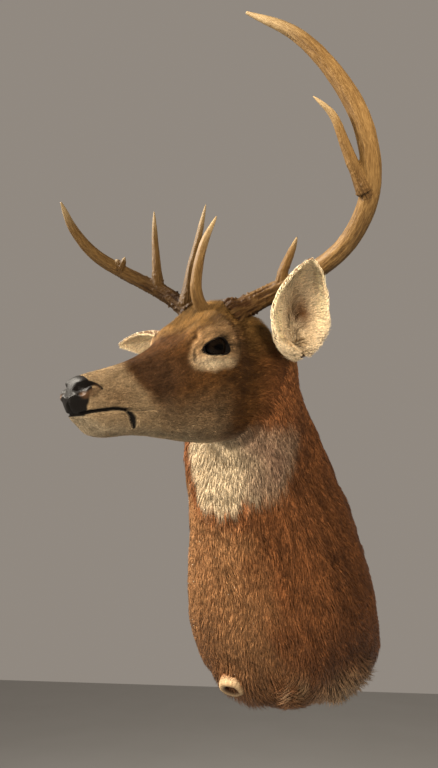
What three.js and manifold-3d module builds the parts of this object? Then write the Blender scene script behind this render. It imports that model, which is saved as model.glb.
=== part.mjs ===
// A white-tailed buck shoulder mount: the mounted head, neck and shoulder of one deer, with its antlers,
// glass eyes and the plywood board and steel hanger behind it.
//
// Frame, in millimetres: +Z is up, the wall is the plane y = 0 and the deer looks away from it, towards -Y.
// The origin is the middle of the board's flat back. +X is the deer's left.
//
// Two systems of coordinates are used. The trunk and neck are placed in the frame itself. The head, ears,
// eyes and antlers are placed on the head: s is the distance behind the tip of the nose, w is to the deer's
// left of the head's middle plane, and h is the height above the line of the mouth.

import * as THREE from 'three';
import { ParametricGeometry } from 'three/addons/geometries/ParametricGeometry.js';
import { mergeVertices } from 'three/addons/utils/BufferGeometryUtils.js';
import Module from 'manifold-3d';

const wasm = await Module();
wasm.setup();

// ---- driving dimensions -----------------------------------------------------------------------------

const GAP = 0.3;                                   // clearance between two solids that meet

// The head's place: the point between the eyes, and how the head is turned from looking straight out.
const EYE_LINE = { s: 195, h: 62 };                // that point's own distance and height on the head
const HEAD_AT = new THREE.Vector3(-24, -454, 243);
const HEAD_YAW = THREE.MathUtils.degToRad(22);     // towards the deer's right
const HEAD_PITCH = THREE.MathUtils.degToRad(-18.7); // nose below the level
const HEAD_ROLL = THREE.MathUtils.degToRad(-9);    // left side below the right

// Lines along the head, each as [s, value]: the middle line of the top, the two edges of the forehead, the
// widest line of the side, the lip and cheek, the lower edge of the jaw, and the underside's middle line.
const TOP_H = [[0, 20], [5, 33], [14, 42], [30, 46], [60, 51], [100, 60], [140, 75], [175, 91], [205, 105],
  [235, 114], [262, 115], [290, 108]];
const BROW_W = [[0, 8], [14, 15], [30, 14], [60, 12], [100, 15], [140, 22], [170, 33], [195, 42], [225, 40],
  [262, 38], [290, 36]];
const BROW_DROP = [[0, 3], [30, 6], [60, 5], [100, 5], [150, 7], [195, 6], [240, 8], [290, 10]];
const SIDE_W = [[0, 14], [14, 24], [30, 26], [60, 23], [100, 26], [140, 36], [170, 47], [195, 56], [225, 61],
  [262, 62], [290, 60]];
const SIDE_H = [[0, 22], [30, 25], [60, 26], [100, 30], [140, 40], [195, 58], [225, 55], [262, 47],
  [290, 40]];
const LIP_W = [[0, 10], [14, 19], [30, 23], [60, 24], [100, 27], [140, 34], [190, 46], [225, 52], [262, 53]];
const LIP_H = [[0, 8], [30, 4], [60, 3], [100, 2], [140, 3], [190, 4], [225, 0], [262, -6]];
const JAW_W = [[0, 6], [14, 12], [30, 17], [60, 16], [100, 17], [140, 22], [190, 29], [225, 33], [262, 34]];
const JAW_H = [[0, 4], [14, -6], [30, -18], [60, -20], [100, -24], [140, -33], [190, -43], [225, -48],
  [262, -48]];
const CHIN_H = [[0, 3], [10, -2], [22, -18], [38, -27], [60, -28], [100, -33], [140, -42], [190, -54],
  [225, -60], [262, -62]];
const NOSE_ROUND = 12;                             // depth over which the nose rounds off to its tip
const NOSE_H = 21;                                 // height of the tip

// Rings of the trunk and neck, from the board outwards: the uppermost and lowest points as [y, z], the middle
// of the ring across, and its half widths at four levels from the top down.
const BODY = [
  { top: [0, 188], bottom: [0, -216], x: 0, half: [96, 132, 150, 126] },
  { top: [-40, 198], bottom: [-40, -222], x: -3, half: [95, 134, 156, 124] },
  { top: [-72, 208], bottom: [-98, -225], x: -6, half: [94, 136, 159, 110] },
  { top: [-105, 220], bottom: [-168, -198], x: -2, half: [92, 132, 144, 98] },
  { top: [-140, 236], bottom: [-226, -122], x: -1, half: [88, 119, 124, 82] },
  { top: [-180, 254], bottom: [-274, -40], x: -3, half: [84, 112, 100, 66] },
  { top: [-225, 273], bottom: [-312, 40], x: -4, half: [76, 104, 88, 56] },
];
// Rings that fan from the neck to the jaw, given on the head as [s, h].
const POLL = [
  { top: [340, 66], bottom: [268, -84], half: [54, 80, 74, 45] },
  { top: [318, 90], bottom: [266, -66], half: [45, 70, 68, 40] },
];
// Distances behind the nose at which the head's own rings stand.
const HEAD_RINGS = [255, 235, 215, 195, 175, 155, 130, 100, 70, 45, 28, 18, 12, 8, 5, 2.5, 1];

// Eyes: a glass eye of this radius, set this far out and turned this far forwards and down.
const EYE = { s: 196, w: 41, h: 66, radius: 18, forward: 28, down: 6, back: 8 };
const SOCKET = { s: 196, h: 66, length: 27, height: 20, depth: 3.5 };
const BROW = { s: 197, h: 90, length: 34, height: 16, rise: 6 };
const NOSTRIL = { s: 12, h: 28, length: 9, height: 6, depth: 6 };
const MOUTH = { start: 6, end: 78, halfHeight: 2.2, depth: 1.6 };
const RELIEF_END = 315;                            // no relief further behind the nose than this
const SIDE_FROM = [15, 32];                        // brow and socket fade in at these distances across
const NOSTRIL_FROM = [8, 16];                      // and the nostril over these

// Ears: where each grows from the head, where its tip is, and how far it is rolled about its length.
const EARS = {
  ear_left: { root: [330, 83, 54], tip: [240, 172, 153], roll: 22 },
  ear_right: { root: [316, -72, 59], tip: [258, -196, 98], roll: -22 },
};
const EAR_HALF_WIDTH = [[0, 20], [0.1, 27], [0.3, 40], [0.5, 43], [0.7, 36], [0.88, 20], [1, 3]];
const EAR_WRAP = [[0, 150], [0.1, 128], [0.3, 92], [0.5, 72], [0.75, 58], [1, 45]];   // half its arc, degrees
const EAR_THICK = [[0, 9], [0.2, 6], [0.6, 4.5], [1, 3]];
const EAR_PLUG = 16;                                // radius of the root that beds in the head
const EAR_BED = 5;                                 // how deep its middle lies
const EAR_BOW = 10;                                // how far the ear's length bends back at its middle
const EAR_SEAT = 0.6;                              // share of an arc's radius by which it stands in front
const EAR_LOOK = [-0.75, 0.66, 0];                 // the way its hollow faces on the head before it is rolled

// Antlers: each line is a list of [s, w, h], and each radius is a list of [share of the length, radius].
const BEAM_RADIUS = [[0, 15], [0.04, 14], [0.1, 13.2], [0.3, 12], [0.6, 11.2], [0.8, 8.6], [0.93, 5.6],
  [1, 2]];
const BURR = { at: 0.012, width: 0.014, rise: 6.5, beads: 13, bead: 1.6 };
const PEDICLE = { radius: 15.5, length: 34 };   // the stalk under each burr
// A tine: how much thicker its root is than its shaft and over what share of its length, how much thinner its
// end, how bluntly it comes to a point, and the least share of its section that is left at the point.
const TINE = { root: 1.35, flare: 0.16, taper: 0.35, bluntness: 3.2, point: 0.02 };
const ANTLERS = {
  antler_left: {
    beam: [[251, 35, 110], [295, 77, 134], [310, 137, 153], [298, 196, 178], [275, 239, 223], [252, 249, 284],
      [231, 232, 344], [210, 199, 397], [190, 150, 437]],
    forks: [0.235, 0.475],
    radius: 1,
    tines: {
      brow: {
        line: [[240, 24, 118], [224, 17, 136], [215, 16, 160], [222, 26, 203], [246, 37, 245]],
        radius: 8.2,
      },
      second: {
        line: [[302, 90, 140], [298, 98, 160], [314, 104, 186], [338, 104, 213]],
        radius: 7.0,
      },
      third: {
        line: [[269, 236, 221], [255, 231, 248], [243, 227, 277], [231, 222, 305], [219, 206, 329]],
        radius: 7.2,
      },
    },
  },
  antler_right: {
    beam: [[247, -29, 123], [240, -59, 152], [227, -91, 176], [207, -121, 200], [182, -143, 226],
      [158, -153, 259], [137, -150, 296]],
    forks: [0.36, 0.58],
    radius: 0.82,
    tines: {
      brow: {
        line: [[243, -33, 134], [252, -24, 184], [264, -13, 230], [278, -4, 279]],
        radius: 7.4,
      },
      second: {
        line: [[234, -74, 167], [235, -73, 205], [237, -72, 243], [239, -70, 281]],
        radius: 6.6,
      },
      third: {
        line: [[204, -116, 200], [206, -108, 212], [208, -102, 216]],
        radius: 5.2,
      },
    },
  },
};

// The rolled ends of the hide where the forelegs were taken off.
const STUMPS = {
  foreleg_stump_left: { at: [106, -112, -182], towards: [0.42, -0.35, -0.84] },
  foreleg_stump_right: { at: [-63, -172, -184], towards: [-0.12, -0.6, -0.79] },
};
const STUMP = { radius: 20, rim: 8, reach: 24, hollow: 9 };

// The board and its hanger.
const BOARD = { half: 112, up: 164, down: 190, thick: 18 };
const EDGE_BACK = 0.6;                             // the hide's edge stops this far short of the wall
const HANGER = {
  width: 70, height: 22, thick: 1.6, sunk: 0.4, middle: 118, slot: 40, slotHeight: 8, recess: 12, margin: 3,
};

// ---- mesh fineness ----------------------------------------------------------------------------------

const AROUND_BODY = 30;
const ALONG_BODY = 42;
const AROUND_BEAM = 10;
const AROUND_TINE = 8;
const AROUND_PEDICLE = 14;
const TINE_STEPS = 9;
const BEAM_STEPS = { least: 7, whole: 22, crowd: 2 };  // crowd packs the first steps close to the burr
const EYE_SIDES = 16;
const EAR_ALONG = 11;
const EAR_ARC = 8;                                 // points over each face of an ear
const PLUG_SIDES = 12;
const BOARD_CORNERS = 40;
const STUMP_SIDES = 16;

// ---- colours ----------------------------------------------------------------------------------------

function material(color, roughness, metalness = 0) {
  return new THREE.MeshStandardMaterial({ color, roughness, metalness });
}

const FACE = material('#6b5140', 0.85);
const NECK = material('#96603a', 0.85);
const TRUNK = material('#8a5632', 0.85);
const CREAM = material('#d8c09a', 0.85);
const EAR_SKIN = material('#b58a58', 0.8);
const EYE_GLASS = material('#140c08', 0.1);
const ANTLER = material('#8a6b45', 0.55);
const PLYWOOD = material('#b58d5e', 0.7);
const STEEL = material('#9a9ca0', 0.35, 1);

// ---- curves and frames ------------------------------------------------------------------------------

// A smooth line through [x, value] pairs that never overshoots them: a monotone cubic.
function line(pairs) {
  const x = pairs.map((pair) => pair[0]);
  const y = pairs.map((pair) => pair[1]);
  const last = x.length - 1;
  const step = (i) => (y[i + 1] - y[i]) / (x[i + 1] - x[i]);
  const slope = x.map((_, i) => {
    if (i === 0) return step(0);
    if (i === last) return step(last - 1);
    const before = step(i - 1);
    const after = step(i);
    if (before * after <= 0) return 0;
    const left = x[i] - x[i - 1];
    const right = x[i + 1] - x[i];
    return (3 * (left + right)) / ((2 * right + left) / before + (right + 2 * left) / after);
  });
  return (at) => {
    const t = Math.min(Math.max(at, x[0]), x[last]);
    let i = 0;
    while (i < last - 1 && t > x[i + 1]) i += 1;
    const width = x[i + 1] - x[i];
    const u = (t - x[i]) / width;
    const rise = u * u * (3 - 2 * u);
    return y[i] + (y[i + 1] - y[i]) * rise
      + width * (slope[i] * u * (1 - u) ** 2 - slope[i + 1] * u * u * (1 - u));
  };
}

const HEAD_FORWARD = new THREE.Vector3(
  -Math.sin(HEAD_YAW) * Math.cos(HEAD_PITCH),
  -Math.cos(HEAD_YAW) * Math.cos(HEAD_PITCH),
  Math.sin(HEAD_PITCH),
);
const LEVEL_LEFT = new THREE.Vector3(Math.cos(HEAD_YAW), -Math.sin(HEAD_YAW), 0);
const HEAD_LEFT = LEVEL_LEFT.clone().applyAxisAngle(HEAD_FORWARD, HEAD_ROLL);
const HEAD_UP = HEAD_FORWARD.clone().cross(HEAD_LEFT);

// A point of the head in the frame.
function onHead(s, w, h) {
  return HEAD_AT.clone()
    .addScaledVector(HEAD_FORWARD, EYE_LINE.s - s)
    .addScaledVector(HEAD_LEFT, w)
    .addScaledVector(HEAD_UP, h - EYE_LINE.h);
}

// A direction of the head in the frame.
function alongHead(s, w, h) {
  return onHead(s, w, h).sub(onHead(0, 0, 0));
}

// Coefficients of the smooth closed curve that passes through equally spaced points.
function closedCoefficients(points) {
  const count = points.length;
  const pole = Math.sqrt(3) - 2;
  const weight = (j) => (Math.sqrt(3) * (pole ** j + pole ** (count - j))) / (1 - pole ** count);
  return points.map((_, k) => points.reduce(
    (sum, _point, j) => sum.addScaledVector(points[(k + j) % count], weight(j)),
    new THREE.Vector3(),
  ));
}

// That curve's points at even steps.
function closedCurve(points, steps) {
  const control = closedCoefficients(points);
  const count = points.length;
  return Array.from({ length: steps }, (_, step) => {
    const at = (step * count) / steps;
    const i = Math.floor(at);
    const u = at - i;
    const blend = [
      (1 - u) ** 3,
      3 * u ** 3 - 6 * u ** 2 + 4,
      -3 * u ** 3 + 3 * u ** 2 + 3 * u + 1,
      u ** 3,
    ];
    return blend.reduce(
      (sum, share, j) => sum.addScaledVector(control[(i + j - 1 + count) % count], share / 6),
      new THREE.Vector3(),
    );
  });
}

// The natural cubic through points at the given knots, as a function of the knot coordinate.
function naturalCurve(knots, points) {
  const last = points.length - 1;
  const step = (i) => knots[i + 1] - knots[i];
  const chord = (i) => points[i + 1].clone().sub(points[i]).divideScalar(step(i));
  const share = [0];
  const bend = [new THREE.Vector3()];
  for (let i = 1; i < last; i += 1) {
    const pivot = 2 * (knots[i + 1] - knots[i - 1]) - step(i - 1) * share[i - 1];
    share[i] = step(i) / pivot;
    bend[i] = chord(i).sub(chord(i - 1)).multiplyScalar(6)
      .addScaledVector(bend[i - 1], -step(i - 1)).divideScalar(pivot);
  }
  bend[last] = new THREE.Vector3();
  for (let i = last - 1; i > 0; i -= 1) bend[i].addScaledVector(bend[i + 1], -share[i]);
  return (at) => {
    let i = 0;
    while (i < last - 1 && at > knots[i + 1]) i += 1;
    const width = step(i);
    const after = (at - knots[i]) / width;
    const before = 1 - after;
    return new THREE.Vector3()
      .addScaledVector(points[i], before)
      .addScaledVector(points[i + 1], after)
      .addScaledVector(bend[i], ((before ** 3 - before) * width ** 2) / 6)
      .addScaledVector(bend[i + 1], ((after ** 3 - after) * width ** 2) / 6);
  };
}

// ---- solids -----------------------------------------------------------------------------------------

// The triangles of the surface between rows of points, each row a ring.
function wallTriangles(rowCount, around) {
  const index = [];
  for (let j = 0; j < around; j += 1) {
    const next = (j + 1) % around;
    for (let here = 0; here < (rowCount - 1) * around; here += around) {
      const there = here + around;
      index.push(here + j, there + j, there + next, here + j, there + next, here + next);
    }
  }
  return index;
}

function indexed(points, index) {
  const geometry = new THREE.BufferGeometry();
  geometry.setAttribute('position', new THREE.Float32BufferAttribute(points.flatMap((p) => p.toArray()), 3));
  geometry.setIndex(index);
  return geometry;
}

// A closed surface over rings, with a point that closes each end.
function loft(rows, start, end) {
  const around = rows[0].length;
  const index = wallTriangles(rows.length, around);
  const first = rows.length * around;
  const lastRow = first - around;
  for (let j = 0; j < around; j += 1) {
    const next = (j + 1) % around;
    index.push(first, j, next, first + 1, lastRow + next, lastRow + j);
  }
  return indexed([...rows.flat(), start, end], index);
}

// A closed surface over rings that are folded strips: the two sides of the strip close each end.
function foldedLoft(rows) {
  const around = rows[0].length;
  const index = wallTriangles(rows.length, around);
  const lastRow = (rows.length - 1) * around;
  for (let j = 0; j < around / 2 - 1; j += 1) {
    const back = around - 1 - j;
    index.push(j, j + 1, back - 1, j, back - 1, back);
    index.push(lastRow + j, lastRow + back - 1, lastRow + j + 1);
    index.push(lastRow + j, lastRow + back, lastRow + back - 1);
  }
  return indexed(rows.flat(), index);
}

function middle(points) {
  return points.reduce((sum, point) => sum.add(point), new THREE.Vector3()).divideScalar(points.length);
}

// A manifold-3d solid of a closed geometry, with its faces turned outwards.
function solid(geometry) {
  const plain = geometry.clone();
  plain.deleteAttribute('normal');
  plain.deleteAttribute('uv');
  const merged = mergeVertices(plain, 1e-4);
  const points = new Float32Array(merged.attributes.position.array);
  const triangles = new Uint32Array(merged.index.array);
  const corner = (t) => new THREE.Vector3().fromArray(points, 3 * triangles[t]);
  let volume = 0;
  for (let t = 0; t < triangles.length; t += 3) {
    volume += corner(t).dot(corner(t + 1).cross(corner(t + 2)));
  }
  if (volume < 0) {
    for (let t = 0; t < triangles.length; t += 3) {
      [triangles[t + 1], triangles[t + 2]] = [triangles[t + 2], triangles[t + 1]];
    }
  }
  return new wasm.Manifold(new wasm.Mesh({ numProp: 3, vertProperties: points, triVerts: triangles }));
}

const mount = new THREE.Group();

// Puts a finished solid into the model under its name.
function addPart(name, shape, skin) {
  const whole = shape.decompose().sort((a, b) => b.volume() - a.volume())[0];
  const { vertProperties, triVerts } = whole.getMesh();
  const geometry = new THREE.BufferGeometry();
  geometry.setAttribute('position', new THREE.BufferAttribute(new Float32Array(vertProperties), 3));
  geometry.setIndex(new THREE.BufferAttribute(new Uint32Array(triVerts), 1));
  geometry.computeVertexNormals();
  const mesh = new THREE.Mesh(geometry, skin);
  mesh.name = name;
  mount.add(mesh);
}

// Everything on one side of a plane, less half the clearance.
const FAR = 2000;
function halfSpace(point, normal) {
  const side = normal.clone().normalize();
  const box = new THREE.BoxGeometry(FAR, FAR, FAR);
  box.applyQuaternion(new THREE.Quaternion().setFromUnitVectors(new THREE.Vector3(0, 0, 1), side));
  const centre = point.clone().addScaledVector(side, (FAR + GAP) / 2);
  box.translate(centre.x, centre.y, centre.z);
  return solid(box);
}

// ---- trunk, neck and head as one surface ------------------------------------------------------------

const CONTROL = 10;                                // control points round a ring, the first at the top

// Mirrors half a ring of points, from the top round the deer's left to the bottom, into a whole one.
function wholeRing(half, place) {
  const left = half.map(([w, ...rest]) => place(w, ...rest));
  const right = half.slice(1, -1).reverse().map(([w, ...rest]) => place(-w, ...rest));
  return [...left, ...right];
}

// A ring in one plane: its points stand at these shares of the way from its top to its bottom.
const LEVELS = Array.from(
  { length: CONTROL / 2 + 1 },
  (_, k) => (1 - Math.cos((2 * Math.PI * k) / CONTROL)) / 2,
);

function planeRing({ top, bottom, half }, place) {
  const widths = [0, ...half, 0];
  const points = LEVELS.map((share, k) => [
    widths[k],
    THREE.MathUtils.lerp(top[0], bottom[0], share),
    THREE.MathUtils.lerp(top[1], bottom[1], share),
  ]);
  return wholeRing(points, place);
}

const HEAD_LINES = {
  top: line(TOP_H), browWidth: line(BROW_W), browDrop: line(BROW_DROP), sideWidth: line(SIDE_W),
  sideHeight: line(SIDE_H), lipWidth: line(LIP_W), lipHeight: line(LIP_H), jawWidth: line(JAW_W),
  jawHeight: line(JAW_H), chin: line(CHIN_H),
};

function headRing(s) {
  const at = Object.fromEntries(Object.entries(HEAD_LINES).map(([name, value]) => [name, value(s)]));
  const depth = Math.min(s / NOSE_ROUND, 1);
  const shrink = Math.sqrt(1 - (1 - depth) ** 2);
  const points = [
    [0, at.top],
    [at.browWidth, at.top - at.browDrop],
    [at.sideWidth, at.sideHeight],
    [at.lipWidth, at.lipHeight],
    [at.jawWidth, at.jawHeight],
    [0, at.chin],
  ];
  return wholeRing(points, (w, h) => onHead(s, w * shrink, NOSE_H + (h - NOSE_H) * shrink));
}

const rings = [
  ...BODY.map((ring) => planeRing(ring, (w, y, z) => new THREE.Vector3(ring.x + w, y, z))),
  ...POLL.map((ring) => planeRing(ring, (w, s, h) => onHead(s, w, h))),
  ...HEAD_RINGS.map(headRing),
];
const knots = [0];
for (let i = 1; i < rings.length; i += 1) {
  const gap = rings[i].reduce((sum, point, j) => sum + point.distanceTo(rings[i - 1][j]), 0) / CONTROL;
  knots.push(knots[i - 1] + gap);
}

// A soft hill, 1 at its middle, over a length and a height on the side of the head.
function hill({ s, h, length, height }, q) {
  return Math.exp(-(((q.s - s) / length) ** 2) - ((q.h - h) / height) ** 2);
}

function smoothstep(from, to, x) {
  const t = Math.min(Math.max((x - from) / (to - from), 0), 1);
  return t * t * (3 - 2 * t);
}

// How far the finished surface stands out from the plain loft at a point of the head.
function relief(point) {
  const from = point.clone().sub(HEAD_AT);
  const q = {
    s: EYE_LINE.s - from.dot(HEAD_FORWARD),
    w: from.dot(HEAD_LEFT),
    h: from.dot(HEAD_UP) + EYE_LINE.h,
  };
  if (q.s > RELIEF_END) return 0;
  const side = smoothstep(...SIDE_FROM, Math.abs(q.w));
  const brow = BROW.rise * hill(BROW, q) * side;
  const socket = -SOCKET.depth * hill(SOCKET, q) * side;
  const nostril = -NOSTRIL.depth * hill(NOSTRIL, q) * smoothstep(...NOSTRIL_FROM, Math.abs(q.w));
  const mouth = q.s > MOUTH.start && q.s < MOUTH.end;
  const lips = mouth ? -MOUTH.depth * Math.exp(-((q.h / MOUTH.halfHeight) ** 2)) : 0;
  return brow + socket + nostril + lips;
}

// Rows of the surface: each station's ring, with rows between them.
function bodyRows() {
  const fine = rings.map((ring) => closedCurve(ring, AROUND_BODY));
  const columns = fine[0].map((_, j) => naturalCurve(knots, fine.map((ring) => ring[j])));
  const total = knots[knots.length - 1];
  const stations = [];
  for (let i = 0; i < knots.length - 1; i += 1) {
    const between = Math.max(1, Math.round(((knots[i + 1] - knots[i]) / total) * ALONG_BODY));
    for (let k = 0; k < between; k += 1) stations.push(knots[i] + ((knots[i + 1] - knots[i]) * k) / between);
  }
  stations.push(total);
  return stations.map((at) => {
    const row = columns.map((curve) => curve(at));
    const centre = middle(row);
    return row.map((point) => {
      const out = point.clone().sub(centre).normalize();
      return point.addScaledVector(out, relief(point));
    });
  });
}

const rows = bodyRows();
const animal = solid(loft(rows, middle(rows[0]), onHead(0, 0, NOSE_H)));

// ---- where the body is parted -----------------------------------------------------------------------

const WITHERS_CUT = { at: new THREE.Vector3(0, -160, 58), lean: THREE.MathUtils.degToRad(14) };
const NAPE_CUT = { at: onHead(300, 0, -8), towardsHead: alongHead(-130, 0, 73) };

const neckward = new THREE.Vector3(0, -Math.cos(WITHERS_CUT.lean), Math.sin(WITHERS_CUT.lean));
const trunkShape = animal.intersect(halfSpace(WITHERS_CUT.at, neckward.clone().negate()));
const neckShape = animal.intersect(halfSpace(WITHERS_CUT.at, neckward))
  .intersect(halfSpace(NAPE_CUT.at, NAPE_CUT.towardsHead.clone().negate()));
const headShape = animal.intersect(halfSpace(NAPE_CUT.at, NAPE_CUT.towardsHead));

// ---- eyes -------------------------------------------------------------------------------------------

// A glass eye on one side: a ball, flattened at the back where it beds in the head.
function eyeball(side, grow) {
  const centre = onHead(EYE.s, side * EYE.w, EYE.h);
  const ball = new THREE.SphereGeometry(EYE.radius + grow, EYE_SIDES, Math.ceil(EYE_SIDES * 0.6));
  ball.translate(centre.x, centre.y, centre.z);
  const forward = THREE.MathUtils.degToRad(EYE.forward);
  const down = THREE.MathUtils.degToRad(EYE.down);
  const gaze = alongHead(-Math.sin(forward), side * Math.cos(forward), -Math.sin(down)).normalize();
  const back = centre.addScaledVector(gaze, -EYE.back - grow - GAP / 2);
  return solid(ball).intersect(halfSpace(back, gaze));
}

// ---- ears -------------------------------------------------------------------------------------------

// A cupped leaf: its sections are arcs, wrapped most of the way round at the root and flatter at the tip.
function ear({ root, tip, roll }, side, grow) {
  const from = onHead(...root);
  const to = onHead(...tip);
  const axis = to.clone().sub(from);
  const length = axis.length();
  axis.normalize();
  const outlook = alongHead(EAR_LOOK[0], side * EAR_LOOK[1], EAR_LOOK[2]).normalize();
  const facing = outlook.addScaledVector(axis, -outlook.dot(axis)).normalize()
    .applyAxisAngle(axis, THREE.MathUtils.degToRad(roll));
  const across = axis.clone().cross(facing);
  const halfWidth = line(EAR_HALF_WIDTH);
  const wrap = line(EAR_WRAP);
  const thickness = line(EAR_THICK);
  const sections = [];
  for (let i = 0; i <= EAR_ALONG; i += 1) {
    const t = i / EAR_ALONG;
    const half = THREE.MathUtils.degToRad(wrap(t));
    const spread = half < Math.PI / 2 ? Math.sin(half) : 1;
    const radius = halfWidth(t) / spread;
    const thick = thickness(t) / 2 + grow;
    const bow = -EAR_BOW * Math.sin(Math.PI * t);
    const centre = from.clone().addScaledVector(axis, length * t)
      .addScaledVector(facing, bow + radius * EAR_SEAT);
    const at = (angle, r) => centre.clone()
      .addScaledVector(across, r * Math.sin(angle)).addScaledVector(facing, -r * Math.cos(angle));
    const angles = Array.from({ length: EAR_ARC }, (_, k) => half * ((2 * k) / (EAR_ARC - 1) - 1));
    const outer = angles.map((angle) => at(angle, radius + thick));
    const inner = angles.map((angle) => at(-angle, radius - thick));
    sections.push([...outer, ...inner]);
  }
  const leaf = solid(foldedLoft(sections));
  const plug = new THREE.SphereGeometry(EAR_PLUG + grow, PLUG_SIDES, Math.ceil(PLUG_SIDES * 0.6));
  const bed = from.clone().addScaledVector(axis, -EAR_BED);
  plug.translate(bed.x, bed.y, bed.z);
  return leaf.add(solid(plug));
}

// ---- antlers ----------------------------------------------------------------------------------------

// A round rod along a curve, from one share of its length to another, with flat ends.
const ROD_UP = new THREE.Vector3(0.3, 0.2, 1).normalize();   // roughly upwards, and along no antler
function rod(curve, from, to, radiusAt, around, steps, crowd = 1) {
  const sections = [];
  let up = ROD_UP;
  for (let i = 0; i <= steps; i += 1) {
    const t = from + (to - from) * (i / steps) ** crowd;
    const centre = curve.getPointAt(t);
    const tangent = curve.getTangentAt(t);
    up = up.clone().addScaledVector(tangent, -up.dot(tangent)).normalize();
    const across = tangent.clone().cross(up);
    sections.push(Array.from({ length: around }, (_, k) => {
      const angle = (2 * Math.PI * k) / around;
      const radius = radiusAt(t, angle);
      return centre.clone().addScaledVector(up, radius * Math.cos(angle))
        .addScaledVector(across, radius * Math.sin(angle));
    }));
  }
  return solid(loft(sections, curve.getPointAt(from), curve.getPointAt(to)));
}

function curveOnHead(points) {
  return new THREE.CatmullRomCurve3(points.map((point) => onHead(...point)), false, 'centripetal');
}

function beamRadius(scale, grow) {
  const shaft = line(BEAM_RADIUS);
  return (t, angle) => {
    const burr = Math.exp(-(((t - BURR.at) / BURR.width) ** 2));
    const bead = BURR.bead * Math.cos(BURR.beads * angle);
    return scale * (shaft(t) + burr * (BURR.rise + bead)) + grow;
  };
}

function tineRadius(radius, grow) {
  return (t) => {
    const flare = 1 + (TINE.root - 1) * Math.exp(-((t / TINE.flare) ** 2));
    const rounding = Math.sqrt(Math.max(1 - t ** TINE.bluntness, TINE.point));
    return radius * flare * (1 - TINE.taper * t) * rounding + grow;
  };
}

const pedicles = [];
const antlerRoots = [];

// The lengths of one beam between its forks. Grown, they fill the clearance between them as well.
function beamLengths(curve, forks, scale, grow) {
  const clear = grow > 0 ? 0 : GAP / 2 / curve.getLength();
  const ends = [0, ...forks, 1];
  return ends.slice(1).map((end, i) => {
    const from = ends[i] + (i > 0 ? clear : 0);
    const to = end < 1 ? end - clear : end;
    const steps = Math.max(BEAM_STEPS.least, Math.round((end - ends[i]) * BEAM_STEPS.whole));
    return rod(curve, from, to, beamRadius(scale, grow), AROUND_BEAM, steps, i === 0 ? BEAM_STEPS.crowd : 1);
  });
}

function addAntler(name, { beam, forks, radius, tines }) {
  const curve = curveOnHead(beam);
  const lengths = beamLengths(curve, forks, radius, 0);
  lengths.forEach((length, i) => addPart(`${name}_beam_${i + 1}`, length, ANTLER));
  const grown = beamLengths(curve, forks, radius, GAP);
  for (const [tine, { line: points, radius: shaft }] of Object.entries(tines)) {
    const path = curveOnHead(points);
    const tineRod = (grow) => rod(path, 0, 1, tineRadius(shaft, grow), AROUND_TINE, TINE_STEPS);
    const clear = grown.reduce((left, length) => left.subtract(length), tineRod(0));
    addPart(`${name}_${tine}_tine`, clear, ANTLER);
    antlerRoots.push(tineRod(GAP));
  }
  const base = curve.getPointAt(0);
  const inward = curve.getTangentAt(0).negate();
  const stalk = new THREE.LineCurve3(
    base.clone().addScaledVector(inward, GAP),
    base.clone().addScaledVector(inward, PEDICLE.length),
  );
  pedicles.push(rod(stalk, 0, 1, () => radius * PEDICLE.radius, AROUND_PEDICLE, 1));
  antlerRoots.push(grown[0]);
}

for (const [name, antler] of Object.entries(ANTLERS)) addAntler(name, antler);

// ---- head, ears and eyes ----------------------------------------------------------------------------

let head = headShape;
let neck = neckShape;
for (const pedicle of pedicles) head = head.add(pedicle);
for (const rootShape of antlerRoots) head = head.subtract(rootShape);
for (const [name, place] of Object.entries(EARS)) {
  const side = place.root[1] > 0 ? 1 : -1;
  addPart(name, ear(place, side, 0), EAR_SKIN);
  head = head.subtract(ear(place, side, GAP));
  neck = neck.subtract(ear(place, side, GAP));
}
for (const [name, side] of [['eye_left', 1], ['eye_right', -1]]) {
  addPart(name, eyeball(side, 0), EYE_GLASS);
  head = head.subtract(eyeball(side, GAP));
}
addPart('head', head, FACE);
addPart('neck', neck, NECK);

// ---- trunk, foreleg stumps, board and hanger --------------------------------------------------------

// A rolled rim round a shallow hollow, on a short plug that beds in the trunk. Each point of its section
// is [share of the rim inwards from its outer edge, share of the rim's height].
const RIM_SECTION = [[0, 0], [0.3, 0.8], [1, 1], [1.6, 0.4]];

function stump({ at, towards }, grow) {
  const rim = RIM_SECTION.map(([inward, high]) => [
    STUMP.radius - STUMP.rim * inward + grow,
    STUMP.rim * high + grow,
  ]);
  const profile = [
    [0, -STUMP.reach - grow],
    [STUMP.radius + grow, -STUMP.reach - grow],
    ...rim,
    [0, grow > 0 ? STUMP.rim : -STUMP.hollow],
  ];
  const turned = new THREE.LatheGeometry(profile.map(([x, y]) => new THREE.Vector2(x, y)), STUMP_SIDES);
  turned.applyQuaternion(new THREE.Quaternion().setFromUnitVectors(
    new THREE.Vector3(0, 1, 0),
    new THREE.Vector3(...towards).normalize(),
  ));
  turned.translate(...at);
  return solid(turned);
}

// The board's outline: an egg, taller above its middle than below.
function boardOutline(grow) {
  return new THREE.Shape(Array.from({ length: BOARD_CORNERS }, (_, k) => {
    const angle = (2 * Math.PI * k) / BOARD_CORNERS;
    const reach = Math.sin(angle) > 0 ? BOARD.up : BOARD.down;
    return new THREE.Vector2((BOARD.half + grow) * Math.cos(angle), (reach + grow) * Math.sin(angle));
  }));
}

function upright(geometry, y) {
  geometry.rotateX(Math.PI / 2);
  geometry.translate(0, y, 0);
  return geometry;
}

function boardSolid(grow) {
  const plate = new THREE.ExtrudeGeometry(boardOutline(grow), {
    depth: BOARD.thick + grow, bevelEnabled: false,
  });
  return solid(upright(plate, 0));
}

// A block on the board's back: its width and height, and how deep it starts and ends behind the wall plane.
function block(width, height, from, to) {
  const box = new THREE.BoxGeometry(width, to - from, height);
  box.translate(0, -(from + to) / 2, HANGER.middle);
  return solid(box);
}

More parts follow.
